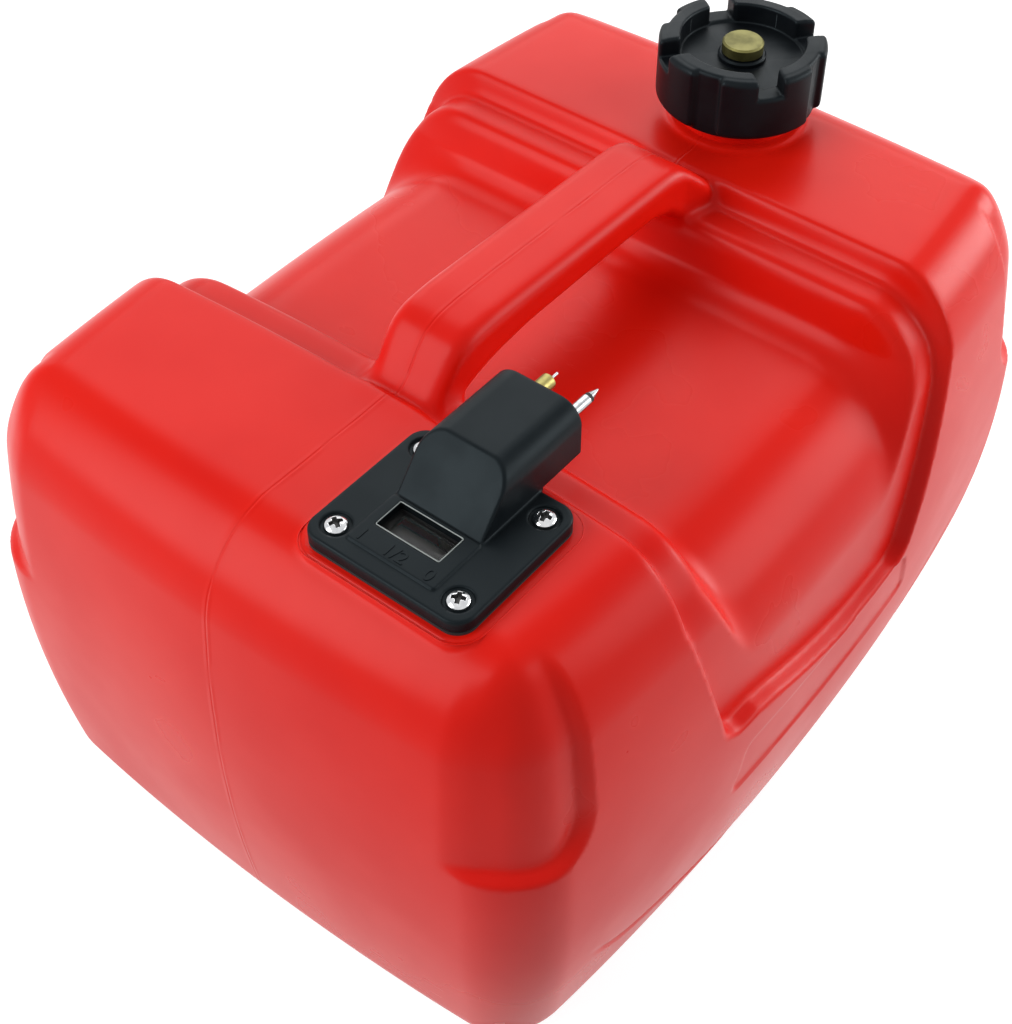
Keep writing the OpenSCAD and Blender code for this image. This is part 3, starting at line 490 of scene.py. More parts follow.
class Effects:
    """Node groups that the materials share."""

    # Turn about z and waves per metre of each set of scratches
    STROKES = ((0.6, (260.0, 9.0, 90.0)), (2.1, (190.0, 7.0, 70.0)))
    STROKE_TILT = (0.3, 0.2)
    STROKE_WIDTH = 0.006
    SEAM_WANDER = 0.0003
    # Outer and inner edge of the seam's banks, and the floor of its groove
    SEAM_EDGES = (0.0022, 0.0006, 0.0001)

    def __init__(self) -> None:
        """Builds the groups."""
        self.mottle = self._mottle()
        self.grain = self._grain()
        self.scratches = self._scratches()
        self.seam = self._seam()

    @staticmethod
    def _mottle() -> bpy.types.NodeTree:
        """Returns the group for slow drifts of colour and roughness."""
        made = Effect("Mottle", "Scale", 14.0, "Share")
        t = made.tree
        wide = t.noise(made.place, made.given, 4.0, 0.55)
        return made.gives(t.ramp(wide, 0.32, 0.68))

    @staticmethod
    def _grain() -> bpy.types.NodeTree:
        """Returns the group for the fine grain of a moulded or turned skin."""
        made = Effect("Grain", "Scale", 900.0, "Height")
        t = made.tree
        fine = t.noise(made.place, made.given, 3.0, 0.6)
        broad = t.noise(made.place, t.math("MULTIPLY", made.given, 0.12), 1.0)
        return made.gives(t.math("ADD", t.math("MULTIPLY", fine, 0.4), broad))

    def _scratches(self) -> bpy.types.NodeTree:
        """Returns the group for fine scratches, thin and far apart."""
        made = Effect("Scratches", "Amount", 0.3, "Mask")
        t = made.tree
        strokes = []
        for turn, stretch in self.STROKES:
            turned = t.node("ShaderNodeMapping", inputs={
                "Vector": made.place, "Rotation": (*self.STROKE_TILT, turn), "Scale": stretch})
            lines = t.noise(turned.outputs["Vector"], 1.0, 1.0)
            near = t.math("ABSOLUTE", t.math("SUBTRACT", lines, 0.5))
            patches = t.noise(made.place, 22.0 + 9.0 * turn, 1.0)
            strokes.append(t.math("MULTIPLY", t.ramp(near, self.STROKE_WIDTH, 0.0),
                                  t.ramp(patches, 0.58, 0.70)))
        return made.gives(t.math("MULTIPLY", t.math("MAXIMUM", *strokes), made.given))

    def _seam(self) -> bpy.types.NodeTree:
        """Returns the group for a mould's parting line, a groove between two low banks."""
        made = Effect("Seam", "Strength", 0.0, "Height")
        t = made.tree
        wander = t.noise(made.place, 60.0, 2.0)
        axes = t.node("ShaderNodeSeparateXYZ", inputs={"Vector": made.place}).outputs
        on_blocks = t.ramp(t.math("ABSOLUTE", axes["X"]), 0.070, 0.080)
        on_handle = t.ramp(axes["Z"], TANK_TOP * MM, TANK_TOP * MM + 0.003)
        shift = t.math("MULTIPLY_ADD", wander, 2 * self.SEAM_WANDER, -self.SEAM_WANDER)
        off = t.math("ABSOLUTE", t.math("ADD", axes["Y"], shift))
        outer, inner, floor = self.SEAM_EDGES
        banks = t.math("MULTIPLY", t.ramp(off, outer, inner), 0.8)
        profile = t.math("SUBTRACT", banks, t.ramp(off, inner, floor))
        worn = t.math("MULTIPLY", t.ramp(wander, 0.25, 0.55),
                      t.math("MAXIMUM", on_handle, on_blocks))
        return made.gives(t.math("MULTIPLY", t.math("MULTIPLY", profile, worn), made.given))


class Paint:
    """Makes each finish into a material once."""

    SCRATCH_DEPTH = 1.5
    SCRATCH_DULL = 0.25

    def __init__(self) -> None:
        """Builds the shared effects."""
        self.effects = Effects()
        self.made: dict[str, bpy.types.Material] = {}

    def material(self, name: str) -> bpy.types.Material:
        """The material of a finish.

        Args:
            name: Key of the finish.

        Returns:
            The material, made at its first use.
        """
        if name in self.made:
            return self.made[name]
        finish = FINISHES[name]
        made = bpy.data.materials.new("fin_" + name)
        made.use_nodes = True
        t = Tree(made.node_tree)
        shader = made.node_tree.nodes["Principled BSDF"]

        def effect(group: bpy.types.NodeTree, amount: float) -> bpy.types.NodeSocket:
            """The output of a shared group with its input set to an amount."""
            node = t.node("ShaderNodeGroup", node_tree=group, inputs={0: amount})
            return node.outputs[0]

        mottle = effect(self.effects.mottle, finish.mottle_scale)
        grain = effect(self.effects.grain, finish.grain_scale)
        scratch = effect(self.effects.scratches, finish.scratch)
        colour = t.node("ShaderNodeMix", data_type="RGBA", inputs={
            "Factor": mottle, "A": (*finish.base, 1.0), "B": (*finish.shade, 1.0)})
        rough = t.math("MULTIPLY_ADD", mottle, 2 * finish.roughness_spread,
                       finish.roughness - finish.roughness_spread)
        height = t.math("SUBTRACT", grain, t.math("MULTIPLY", scratch, self.SCRATCH_DEPTH))
        if finish.seam > 0:
            height = t.math("ADD", height, effect(self.effects.seam, finish.seam))
        bump = t.node("ShaderNodeBump", inputs={
            "Height": height, "Distance": finish.grain_height, "Strength": 1.0})
        t.give(shader, {
            "Base Color": colour.outputs["Result"],
            "Roughness": t.math("ADD", rough, t.math("MULTIPLY", scratch, self.SCRATCH_DULL)),
            "Normal": bump.outputs["Normal"],
            "Metallic": finish.metallic,
            "Specular IOR Level": finish.specular,
            "Specular Tint": (*finish.tint, 1.0),
            "Alpha": finish.alpha,
        })
        self.made[name] = made
        return made

    def dress(self, piece: bpy.types.Object, name: str) -> None:
        """Gives a piece the finish of that name."""
        piece.data.materials.clear()
        piece.data.materials.append(self.material(name))

    def dress_nodes(self, nodes: dict[str, bpy.types.Object],
                    finishes: Sequence[tuple[str, str]]) -> None:
        """Gives CAD nodes the finishes that are paired with their names."""
        for node, name in finishes:
            for each in nodes[node].material_slots:
                each.material = self.material(name)


# ---- Tank ---------------------------------------------------------------------------


@dataclass
class TankShell:
    """The red shell with its handle, and the threaded neck.

    The sizes are in mm. They follow the CAD source, apart from a rounder top edge and a
    lower, narrower flange round the neck. A pair named wall, rim or end holds where a
    shape starts to show and the width over which it comes in.
    """

    half_len: float = 178.0
    half_wid: float = 137.0
    edge_r: float = 33.0
    corner_r: float = 27.0
    foot_r: float = 16.0
    end_bow: float = 7.0
    side_bow: float = 12.0
    end_tuck: float = 9.0
    side_tuck: float = 12.5
    belly_z: float = 96.222
    waist: float = 83.0
    shelf_edge: float = 65.0
    shelf_drop: float = 9.5
    saddle_drop: float = 32.0
    saddle_r: float = 45.0
    saddle_slope: float = 0.9
    ridge_bow: float = 6.0
    pocket: float = 6.5
    pocket_r: float = 9.0
    pocket_wall: Pair = (1.4, 4.0)
    ledge_z: float = 89.0
    ledge_rise: float = 16.0
    slant: float = 0.29
    slant_z: float = 177.0
    slant_start: float = 50.0
    slant_end: Pair = (130.0, 30.0)
    notch: float = 5.0
    notch_len: float = 36.0
    notch_z: float = 122.0
    notch_r: float = 20.0
    notch_wall: Pair = (2.0, 5.0)
    notch_lead: float = 8.0
    notch_fade: float = 19.0
    notch_rim: Pair = (0.85, 0.625)
    relief: float = 0.9
    relief_end: Pair = (-90.0, 20.0)
    panel_at: Pair = (10.0, 75.0)
    panel_half: Pair = (76.0, 13.5)
    panel_r: float = 5.0
    panel_wall: Pair = (0.8, 2.2)
    arch_width: float = 2.4
    arch_end: Pair = (140.0, 12.0)
    grip_top: float = 17.5
    grip_deep: float = 18.0
    grip_half: float = 16.25
    grip_r: float = 6.0
    grip_least: float = 3.0
    grip_flat: float = 0.4
    grip_ends: Pair = (-94.0, 93.0)
    root_half: float = 13.5
    root_end: Pair = (-58.0, 30.0)
    flare: float = 3.0
    flare_end: Pair = (64.0, 16.0)
    fillet: float = 5.5
    root_fillet: float = 7.0
    root_fillet_end: Pair = (-56.0, 14.0)
    pad_half: Pair = (31.5, 34.5)
    pad_r: float = 9.5
    pad_low: float = 192.0
    pad_round: float = 0.5
    pad_fillet: float = 1.6
    line_half: Pair = (32.2, 35.2)
    line_r: float = 10.0
    line_thick: float = 0.24
    flange_r: float = 27.5
    flange_low: float = 196.0
    flange_top: float = 204.4
    flange_round: float = 0.9
    flange_fillet: float = 2.0
    neck_r: float = 24.0
    bore_r: float = 21.0
    neck_low: float = 198.0
    neck_top: float = 223.5
    neck_round: float = 0.6
    pitch: float = 6.0
    thread_z: float = 209.2
    thread_turns: float = 1.75
    thread_run: float = 0.15
    thread_out: float = 1.6
    thread_flat: float = 0.5
    thread_flank: float = 0.9
    roof_z: float = 190.0
    neck_hole: float = 22.5
    gauge_hole: float = 24.0

    HANDLE = ((-95, -0.70, -25), (-82, -0.36, -22), (-76, -0.06, -19), (-71, 0.36, -14),
              (-65.5, 0.78, -9), (-58, 0.95, -5), (-46, 1, -2), (-28, 0.98, 0),
              (-8, 0.95, 0), (20, 0.92, 0), (46, 0.90, -0.5), (58, 0.88, -4),
              (66, 0.78, -12), (74, 0.38, -18), (84, -0.18, -22), (94, -0.60, -25))
    ARCH = ((-150, 60), (-124, 34), (-66, 19), (10, 4.5), (97, 14), (139, 47), (160, 80))
    STEP = ((-40, 1), (-13, 1), (-8, 0.94), (-4, 0.72), (-0.5, 0.12), (3, 0), (30, 0))
    RIDGE = ((-30, 1), (-4, 1), (-1.5, 0.85), (1, 0.08), (3, 0), (30, 0))
    CELL, NECK_CELL = 1.5, 0.6

    def __post_init__(self) -> None:
        """Softens the tables of the profile."""
        self.step = smoothed_table(self.STEP, 1.3)
        self.ridge = smoothed_table(self.RIDGE, 0.9)
        self.handle_top = smoothed_table([(at, top) for at, top, _ in self.HANDLE], 2.2)
        self.handle_low = smoothed_table([(at, low) for at, _, low in self.HANDLE], 2.2)
        self.arch = smoothed_table(self.ARCH, 9)

    def ledge(self, s: Array) -> Array:
        """Height of the pocket's ledge.

        Args:
            s: Distance along the tank.

        Returns:
            Height in mm.
        """
        edge = self.shelf_edge
        share = (edge - np.clip(s, -edge, edge)) / (2 * edge)
        return self.ledge_z + self.ledge_rise * share**2

    def _straightened(self, x: Array, y: Array, z: Array) -> tuple[Array, Array]:
        """Where a point of the bowed tank lies on the straight box.

        Args:
            x: Distance along the tank.
            y: Distance across it.
            z: Height.

        Returns:
            The station along the box and the distance across it.
        """
        rise = ((z - self.belly_z) / (TANK_TOP / 2)) ** 2
        sx, sy = np.sign(x), np.sign(y)
        xs, ys = x, y
        for _ in range(3):
            u, v = np.abs(xs) / self.half_len, np.abs(ys) / self.half_wid
            xs = x + sx * (self.end_bow * v**2 + self.end_tuck * rise) * u**4
            ys = y + sy * (self.side_bow * u**2 * v + self.side_tuck * rise * v**4)
        v = ys / self.half_wid
        s = xs
        for _ in range(2):
            q = np.abs(s)
            end, fade = self.slant_end
            carry = np.clip(np.minimum(q / self.slant_start, (end - q) / fade), 0, 1)
            zl = self.ledge(s)
            above = self.slant * np.clip(self.slant_z - z, 0, None)
            below = self.slant * (self.slant_z - zl) * z / zl
            slant = np.where(z > zl, above, below)
            s = xs + sx * carry * slant + np.where(xs < 0, carry * self.ridge_bow * v**2, 0)
        return s, ys

    def _notch(self, q: Array, w: Array, z: Array) -> Array:
        """Share of the strap notches in the corners.

        Args:
            q: Distance from the middle, along the box.
            w: Distance from the middle, across it.
            z: Height.

        Returns:
            Share from 0 to 1.
        """
        outline = corner(self.half_len - self.notch_len - q, self.notch_z - z, self.notch_r)
        side = eased((w - (self.half_wid - self.corner_r) + self.notch_lead) / self.notch_fade)
        sine = np.clip((z - (TANK_TOP - self.edge_r)) / self.edge_r, 0, 1)
        turn = np.arcsin(sine) / (math.pi / 2)
        return within(outline, *self.notch_wall) * side * within(turn, *self.notch_rim)

    def body(self, x: Array, y: Array, z: Array) -> Array:
        """Field of the shell's outside without the handle.

        Args:
            x: Distance along the tank.
            y: Distance across it.
            z: Height.

        Returns:
            Signed distance in mm.
        """
        s, ys = self._straightened(x, y, z)
        q, w = np.abs(s), np.abs(ys)
        step = self.step(q - self.shelf_edge)
        drop = (self.shelf_drop * self.ridge(q - self.waist)
                + (self.saddle_drop - self.shelf_drop) * step)
        r = self.edge_r + (self.saddle_r - self.edge_r) * step
        outline = corner(q - self.waist, self.ledge(s) - z, self.pocket_r)
        pocket = self.pocket * within(outline, *self.pocket_wall)
        plan = corner(q - self.half_len, w - (self.half_wid - pocket), self.corner_r)
        plan = plan + self.notch * self._notch(q, w, z)
        near = within(ys, *self.relief_end)
        mid_s, mid_z = self.panel_at
        outline = rounded_rect(s - mid_s, z - mid_z, *self.panel_half, self.panel_r)
        panel = within(outline, *self.panel_wall)
        arch = 1 - eased(np.abs(z - self.arch(s)) / self.arch_width)
        arch = self.relief * arch * within(q, *self.arch_end)
        plan = plan + near * (self.relief * panel + arch)
        slope = 1 + self.saddle_slope * step * (1 - step) * 4
        top = corner(plan, z - (TANK_TOP - drop), r) / slope
        return np.maximum(top, corner(plan, -z, self.foot_r))

    def handle(self, x: Array, y: Array, z: Array) -> Array:
        """Field of the carry handle.

        Args:
            x: Distance along the tank.
            y: Distance across it.
            z: Height.

        Returns:
            Signed distance in mm.
        """
        top = TANK_TOP + self.handle_top(x) * self.grip_top
        low = TANK_TOP + self.grip_top - self.grip_deep + self.handle_low(x)
        half = self.grip_half + (self.root_half - self.grip_half) * within(x, *self.root_end)
        flare_x, flare_len = self.flare_end
        half = half + self.flare * eased((x - flare_x) / flare_len)
        tall = np.maximum((top - low) / 2, self.grip_least)
        r = np.minimum(self.grip_r, tall - self.grip_flat)
        side = corner(np.abs(y) - half, np.abs(z - (top + low) / 2) - tall, r)
        near, far = self.grip_ends
        return np.maximum(side, np.maximum(near - x, x - far))

    def shape(self, x: Array, y: Array, z: Array) -> Array:
        """Field of the whole shell's outside.

        Args:
            x: Distance along the tank.
            y: Distance across it.
            z: Height.

        Returns:
            Signed distance in mm.
        """
        blend = self.fillet + self.root_fillet * within(x, *self.root_fillet_end)
        whole = joined(self.body(x, y, z), self.handle(x, y, z), blend)
        plan = rounded_rect(x - GAUGE_X, y - GAUGE_Y, *self.pad_half, self.pad_r)
        pad = slab(plan, z, self.pad_low, TANK_TOP, self.pad_round)
        plan = np.hypot(x - CAP_X, y) - self.flange_r
        flange = slab(plan, z, self.flange_low, self.flange_top, self.flange_round)
        return joined(joined(whole, pad, self.pad_fillet), flange, self.flange_fillet)

    def neck(self, x: Array, y: Array, z: Array) -> Array:
        """Field of the threaded neck.

        Args:
            x: Distance along the tank.
            y: Distance across it.
            z: Height.

        Returns:
            Signed distance in mm.
        """
        rho = np.hypot(x - CAP_X, y)
        along = (z - self.thread_z) / self.pitch
        phase = along - np.arctan2(y, x - CAP_X) / (2 * math.pi)
        off = np.abs(phase - np.round(phase)) * self.pitch
        run = eased(along / self.thread_run) * eased(
            (self.thread_turns - along) / self.thread_run)
        flank = 1 - eased((off - self.thread_flat) / self.thread_flank)
        ridge = self.thread_out * run * flank
        wall = np.maximum(rho - self.neck_r - ridge, self.bore_r - rho)
        ends = np.maximum(self.neck_low - z, z - self.neck_top)
        return common(wall, ends, self.neck_round)

    def _outside_holes(self, middles: Array) -> Array:
        """Picks the faces that aren't in the way of the neck or the gauge.

        Args:
            middles: Middles of the faces in mm.

        Returns:
            True for each face to keep.
        """
        x, y, z = middles.T
        in_neck = np.hypot(x - CAP_X, y) < self.neck_hole
        in_gauge = np.hypot(x - GAUGE_X, y - GAUGE_Y) < self.gauge_hole
        return ~((in_neck | in_gauge) & (z > self.roof_z))

    def build(self, paint: Paint) -> None:
        """Builds the shell and the neck and puts them on the tank body.

        Args:
            paint: Source of the materials.
        """
        long, wide = self.half_len + 4, self.half_wid + 4
        skin = Moulding("shell", self.shape, (-long, -wide, -3), (long, wide, 229),
                        self.CELL).build(self._outside_holes)
        reach = self.neck_r + 3
        neck = Moulding("neck", self.neck, (CAP_X - reach, -reach, 196),
                        (CAP_X + reach, reach, 226), self.NECK_CELL).build()
        outline = rounded_line(GAUGE_X, GAUGE_Y, *self.line_half, self.line_r)
        line = swept_ring("pad_line", *outline, TANK_TOP, self.line_thick)
        for piece in (skin, neck, line):
            paint.dress(piece, "tank")
            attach(piece, Body.TANK.value)
        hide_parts("tank_body", "tank_upper", "carry_handle")
        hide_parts("filler_neck")


# ---- Filler cap ---------------------------------------------------------------------


@dataclass(frozen=True)
class FillerCap:
    """The cap with its raised grips, sizes in mm."""

    rim_z: float = 210.7
    floor_z: float = 229.5
    grip_z: float = 238.0
    grip_r: float = 33.0
    body_r: float = 30.6
    dish_r: float = 24.5
    bore_r: float = 26.0
    bore_z: float = 225.5
    vent_r: float = 5.5
    gap: float = 10.0
    rib: float = 13.5
    rib_lift: float = 1.5
    rib_drop: float = 0.2
    slot_lift: float = 1.0
    turn: float = math.radians(53)
    body_round: float = 1.6
    rib_round: float = 2.2
    inner_round: float = 0.8
    dish_round: float = 1.2
    slot_round: float = 1.6
    bore_round: float = 0.3
    rib_fillet: float = 0.5

    FINISH = (("vent_boss", "cap"), ("vent_seal", "rubber"), ("cap_gasket", "rubber"),
              ("vent_screw", "knob"), ("vent_clip", "steel"))
    CELL = 0.5

    def shape(self, x: Array, y: Array, z: Array) -> Array:
        """Field of the cap.

        Args:
            x: Distance along the tank.
            y: Distance across it.
            z: Height.

        Returns:
            Signed distance in mm.
        """
        x = x - CAP_X
        rho = np.hypot(x, y)
        sin, cos = math.sin(self.turn), math.cos(self.turn)
        side = np.minimum(np.abs(y * cos - x * sin), np.abs(x * cos + y * sin))
        half_gap = self.gap / 2
        body = slab(rho - self.body_r, z, self.rim_z, self.grip_z, self.body_round)
        plan = common(rho - self.grip_r, side - (half_gap + self.rib), self.inner_round)
        rib = slab(plan, z, self.rim_z + self.rib_lift, self.grip_z - self.rib_drop,
                   self.rib_round)
        dish = common(rho - self.dish_r, self.floor_z - z, self.inner_round)
        slot = common(side - half_gap, self.floor_z + self.slot_lift - z, self.inner_round)
        under = np.maximum(rho - self.bore_r, z - self.bore_z)
        solid = common(joined(body, rib, self.rib_fillet), -dish, self.dish_round)
        solid = common(solid, -slot, self.slot_round)
        solid = common(solid, -under, self.bore_round)
        return np.maximum(solid, self.vent_r - rho)

    def build(self, paint: Paint, nodes: dict[str, bpy.types.Object]) -> None:
        """Builds the cap and dresses what is on it.

        Args:
            paint: Source of the materials.
            nodes: CAD nodes by name.
        """
        reach = self.grip_r + 3
        cap = Moulding("cap", self.shape, (CAP_X - reach, -reach, 208),
                       (CAP_X + reach, reach, 241), self.CELL).build()
        paint.dress(cap, "cap")
        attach(cap, Body.CAP.value)
        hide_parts("filler_cap")
        paint.dress_nodes(nodes, self.FINISH)


# ---- Gauge unit ---------------------------------------------------------------------


@dataclass(frozen=True)
class PanHead:
    """A pan head screw about the origin with its seat at z = 0, sizes in mm."""

    head_r: float = 3.9
    dome_r: float = 5.75
    dome_drop: float = 3.35
    arm_half: float = 0.5
    arm_flare: float = 0.12
    arm_len: float = 1.3
    arm_taper: float = 0.55
    centre_r: float = 0.55
    centre_taper: float = 0.35
    recess_z: float = 0.6
    shank_r: float = 2.0
    shank_low: float = -3.3
    shank_top: float = 0.4
    rim_round: float = 0.6
    seat_round: float = 0.2
    recess_round: float = 0.12
    shank_fillet: float = 0.3

    CELL = 0.11

    def shape(self, x: Array, y: Array, z: Array) -> Array:
        """Field of the screw.

        Args:
            x: First coordinate.
            y: Second coordinate.
            z: Height above the seat.

        Returns:
            Signed distance in mm.
        """
        rho = np.hypot(x, y)
        dome = np.hypot(rho, z + self.dome_drop) - self.dome_r
        head = common(common(rho - self.head_r, dome, self.rim_round), -z, self.seat_round)
        recess = rho - self.centre_r - self.centre_taper * z
        for across, along in ((x, y), (y, x)):
            arm = np.maximum(np.abs(across) - self.arm_half - self.arm_flare * z,
                             np.abs(along) - self.arm_len - self.arm_taper * z)
            recess = np.minimum(recess, arm)
        recess = np.maximum(recess, self.recess_z - z)
        head = common(head, -recess, self.recess_round)
        ends = np.maximum(self.shank_low - z, z - self.shank_top)
        return joined(head, np.maximum(rho - self.shank_r, ends), self.shank_fillet)

    def recessed(self, points: Array, faces: Array) -> Array:
        """Picks the faces inside the driver recess, which get a dark finish as painted shade.

        Args:
            points: Corners of the screw in mm.
            faces: Its faces as rows of corner numbers.

        Returns:
            True for each face in the recess.
        """
        reach, least_z, floor_z, wall_tilt = 2.4, 0.4, 0.9, 0.55
        a, b, c = (points[faces[:, k]] for k in (0, 1, 2))
        normal = np.cross(b - a, c - a)
        steep = np.abs(normal[:, 2]) < wall_tilt * np.linalg.norm(normal, axis=1)
        x, y, z = points[faces].mean(1).T
        return (np.hypot(x, y) < reach) & (z > least_z) & ((z < floor_z) | steep)


@dataclass(frozen=True)
class GaugeUnit:
    """The black housing with its window, marks, screws and fittings, sizes in mm."""

    plate_half: Pair = (29.0, 32.0)
    plate_r: float = 7.0
    plate_low: float = 204.0
    plate_top: float = 208.8
    plate_round: float = 1.0
    panel: Pair = (-132.5, -53.1)
    panel_half: Pair = (11.2, 17.3)
    panel_r: float = 1.2
    panel_low: float = 206.0
    panel_top: float = 209.6
    panel_round: float = 0.45
    panel_fillet: float = 0.25
    face_x: float = -121.2
    face_way: Pair = (-0.784, 0.621)
    block_y: float = -53.0
    block_half: float = 17.0
    block_top: float = 229.0
    block_r: float = 8.5
    block_end: float = -71.0
    block_round: float = 0.6
    face_round: float = 1.0
    block_fillet: float = 0.7
    overhang_x: float = -91.0
    overhang_z: float = 205.0
    tube: Pair = (-108.0, -45.5)
    tube_r: float = 3.52
    socket_r: float = 6.5
    socket_low: float = 194.0
    socket_round: float = 0.4
    socket_fillet: float = 0.3
    window: Pair = (-128.7, -52.2)
    window_half: Pair = (5.95, 12.6)
    window_low: float = 203.0
    window_round: float = 0.3
    seat_lip: float = 2.0
    seat_top: float = 205.8
    lip_half: Pair = (5.8, 12.45)
    lip_r: float = 0.5
    lip_z: float = 209.55
    lip_thick: float = 0.2
    screw_gap: Pair = (20.5, 24.0)
    screw_z: float = 207.8
    sink_r: float = 5.0
    sink_round: float = 0.35
    hole_r: float = 2.3
    port_z: float = 215.0
    port_y: Pair = (-45.5, -60.5)
    port_r: Pair = (4.12, 2.02)
    port_end: Pair = (-85.0, -83.0)
    marks: tuple[tuple[str, float], ...] = (("1", -39.3), ("1/2", -52.5), ("0", -65.7))
    mark_x: float = -140.3
    mark_z: float = 209.62
    mark_size: float = 6.75
    mark_raise: float = 0.14
    mark_bevel: float = 0.06

    FINISH = (("plate_gasket", "rubber"), ("screw_inserts", "brass"), ("window_lens", "clear"),
              ("lens_seal", "rubber"), ("fuel_nipple", "brass"), ("check_pin", "steel"),
              ("check_spring", "steel"), ("guide_pin", "steel"), ("guide_seal", "rubber"))
    CELL = 0.5

    def _screw_places(self) -> list[tuple[float, float]]:
        """Returns the places of the four screws in plan."""
        gap_x, gap_y = self.screw_gap
        return [(GAUGE_X + sx * gap_x, GAUGE_Y + sy * gap_y)
                for sx in (-1, 1) for sy in (-1, 1)]

    def _outside(self, x: Array, y: Array, z: Array) -> Array:
        """Field of the housing without its holes.

        Args:
            x: Distance along the tank.
            y: Distance across it.
            z: Height.

        Returns:
            Signed distance in mm.
        """
        plan = rounded_rect(x - GAUGE_X, y - GAUGE_Y, *self.plate_half, self.plate_r)
        plate = slab(plan, z, self.plate_low, self.plate_top, self.plate_round)
        plan = rounded_rect(x - self.panel[0], y - self.panel[1], *self.panel_half, self.panel_r)
        panel = slab(plan, z, self.panel_low, self.panel_top, self.panel_round)
        along, up = self.face_way
        face = along * (x - self.face_x) + up * (z - self.plate_top)
        cross = corner(np.abs(y - self.block_y) - self.block_half, z - self.block_top,
                       self.block_r)
        ends = common(face, x - self.block_end, self.block_round)
        low = np.where(x < self.overhang_x, self.overhang_z - z, self.plate_top - z)
        block = common(common(cross, ends, self.face_round), low, self.block_round)
        plan = np.hypot(x - self.tube[0], y - self.tube[1]) - self.socket_r
        socket = slab(plan, z, self.socket_low, self.overhang_z, self.socket_round)
        solid = joined(joined(plate, panel, self.panel_fillet), block, self.block_fillet)
        return joined(solid, socket, self.socket_fillet)

    def housing(self, x: Array, y: Array, z: Array) -> Array:
        """Field of the housing.

        Args:
            x: Distance along the tank.
            y: Distance across it.
            z: Height.

        Returns:
            Signed distance in mm.
        """
        solid = self._outside(x, y, z)
        off_x, off_y = np.abs(x - self.window[0]), np.abs(y - self.window[1])
        half_x, half_y = self.window_half
        window = np.maximum(off_x - half_x, off_y - half_y)
        seat = np.maximum(off_x - (half_x + self.seat_lip), off_y - (half_y + self.seat_lip))
        window = np.maximum(window, self.window_low - z)
        solid = common(solid, -window, self.window_round)
        solid = np.maximum(solid, -np.maximum(seat, z - self.seat_top))
        for sx, sy in self._screw_places():
            rho = np.hypot(x - sx, y - sy)
            sink = np.maximum(rho - self.sink_r, self.screw_z - z)
            solid = np.maximum(common(solid, -sink, self.sink_round), self.hole_r - rho)
        for port_y, r, end in zip(self.port_y, self.port_r, self.port_end):
            bore = np.hypot(y - port_y, z - self.port_z) - r
            solid = np.maximum(solid, -np.maximum(bore, end - x))
        tube = np.hypot(x - self.tube[0], y - self.tube[1]) - self.tube_r
        return np.maximum(solid, -np.maximum(tube, z - self.plate_low))

    def _screws(self, paint: Paint) -> None:
        """Builds the four screws as one piece, each turned its own way.

        Args:
            paint: Source of the materials.
        """
        head = PanHead()
        points, faces = Moulding("screw_heads", head.shape, (-4.3, -4.3, -3.7),
                                 (4.3, 4.3, 2.8), head.CELL).surface()
        every, quads = [], []
        for k, (sx, sy) in enumerate(self._screw_places()):
            spin = np.array(Matrix.Rotation(math.radians(25 + 37 * k), 3, "Z"))
            every.append(points @ spin.T + np.array([sx, sy, self.screw_z]))
            quads.append(faces + len(points) * k)
        screws = mesh_object("screw_heads", np.concatenate(every) * MM, np.concatenate(quads))
        paint.dress(screws, "chrome")
        # The faces in the driver recesses get the dark recess finish as a second slot: painted
        # shade in the recesses
        screws.data.materials.append(paint.material("recess"))
        recess_shade_faces = head.recessed(points, faces).astype(np.int32)
        screws.data.polygons.foreach_set("material_index", np.tile(recess_shade_faces, len(every)))
        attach(screws, Body.TANK.value)
        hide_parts("housing_screws")

    def _marks(self, paint: Paint) -> None:
        """Builds the raised marks beside the window.

        Args:
            paint: Source of the materials.
        """
        for k, (text, y) in enumerate(self.marks):
            curve = bpy.data.curves.new(f"mark_{k}", "FONT")
            curve.body = text
            curve.size = self.mark_size * MM
            curve.align_x, curve.align_y = "CENTER", "CENTER"
            curve.extrude = self.mark_raise * MM
            curve.bevel_depth = self.mark_bevel * MM
            holder = linked(f"mark_{k}_text", curve)
            place = Vector((self.mark_x, y, self.mark_z)) * MM
            holder.matrix_world = Matrix.Translation(place) @ Matrix.Rotation(
                -math.pi / 2, 4, "Z")
            bpy.context.view_layer.update()
            solid = bpy.data.meshes.new_from_object(
                holder.evaluated_get(bpy.context.evaluated_depsgraph_get()))
            solid.transform(holder.matrix_world)
            bpy.data.objects.remove(holder)
            piece = linked(f"mark_{k}", solid)
            LOG.info("%s: %d faces", piece.name, len(solid.polygons))
            paint.dress(piece, "black")
            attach(piece, Body.TANK.value)

    def build(self, paint: Paint, nodes: dict[str, bpy.types.Object]) -> None:
        """Builds the housing, screws and marks and dresses the small parts.

        Args:
            paint: Source of the materials.
            nodes: CAD nodes by name.
        """
        housing = Moulding("housing", self.housing, (-152, -88, 192), (-69, -20, 231),
                           self.CELL).build()
        paint.dress(housing, "black")
        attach(housing, Body.TANK.value)
        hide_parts("gauge_housing")
        self._screws(paint)
        # A thin bead round the window opening; its pale finish is a painted highlight along the
        # opening's edge
        outline = rounded_line(*self.window, *self.lip_half, self.lip_r)
        lip = swept_ring("lens_lip", *outline, self.lip_z, self.lip_thick)
        paint.dress(lip, "lip")
        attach(lip, Body.TANK.value)
        self._marks(paint)
        paint.dress_nodes(nodes, self.FINISH)


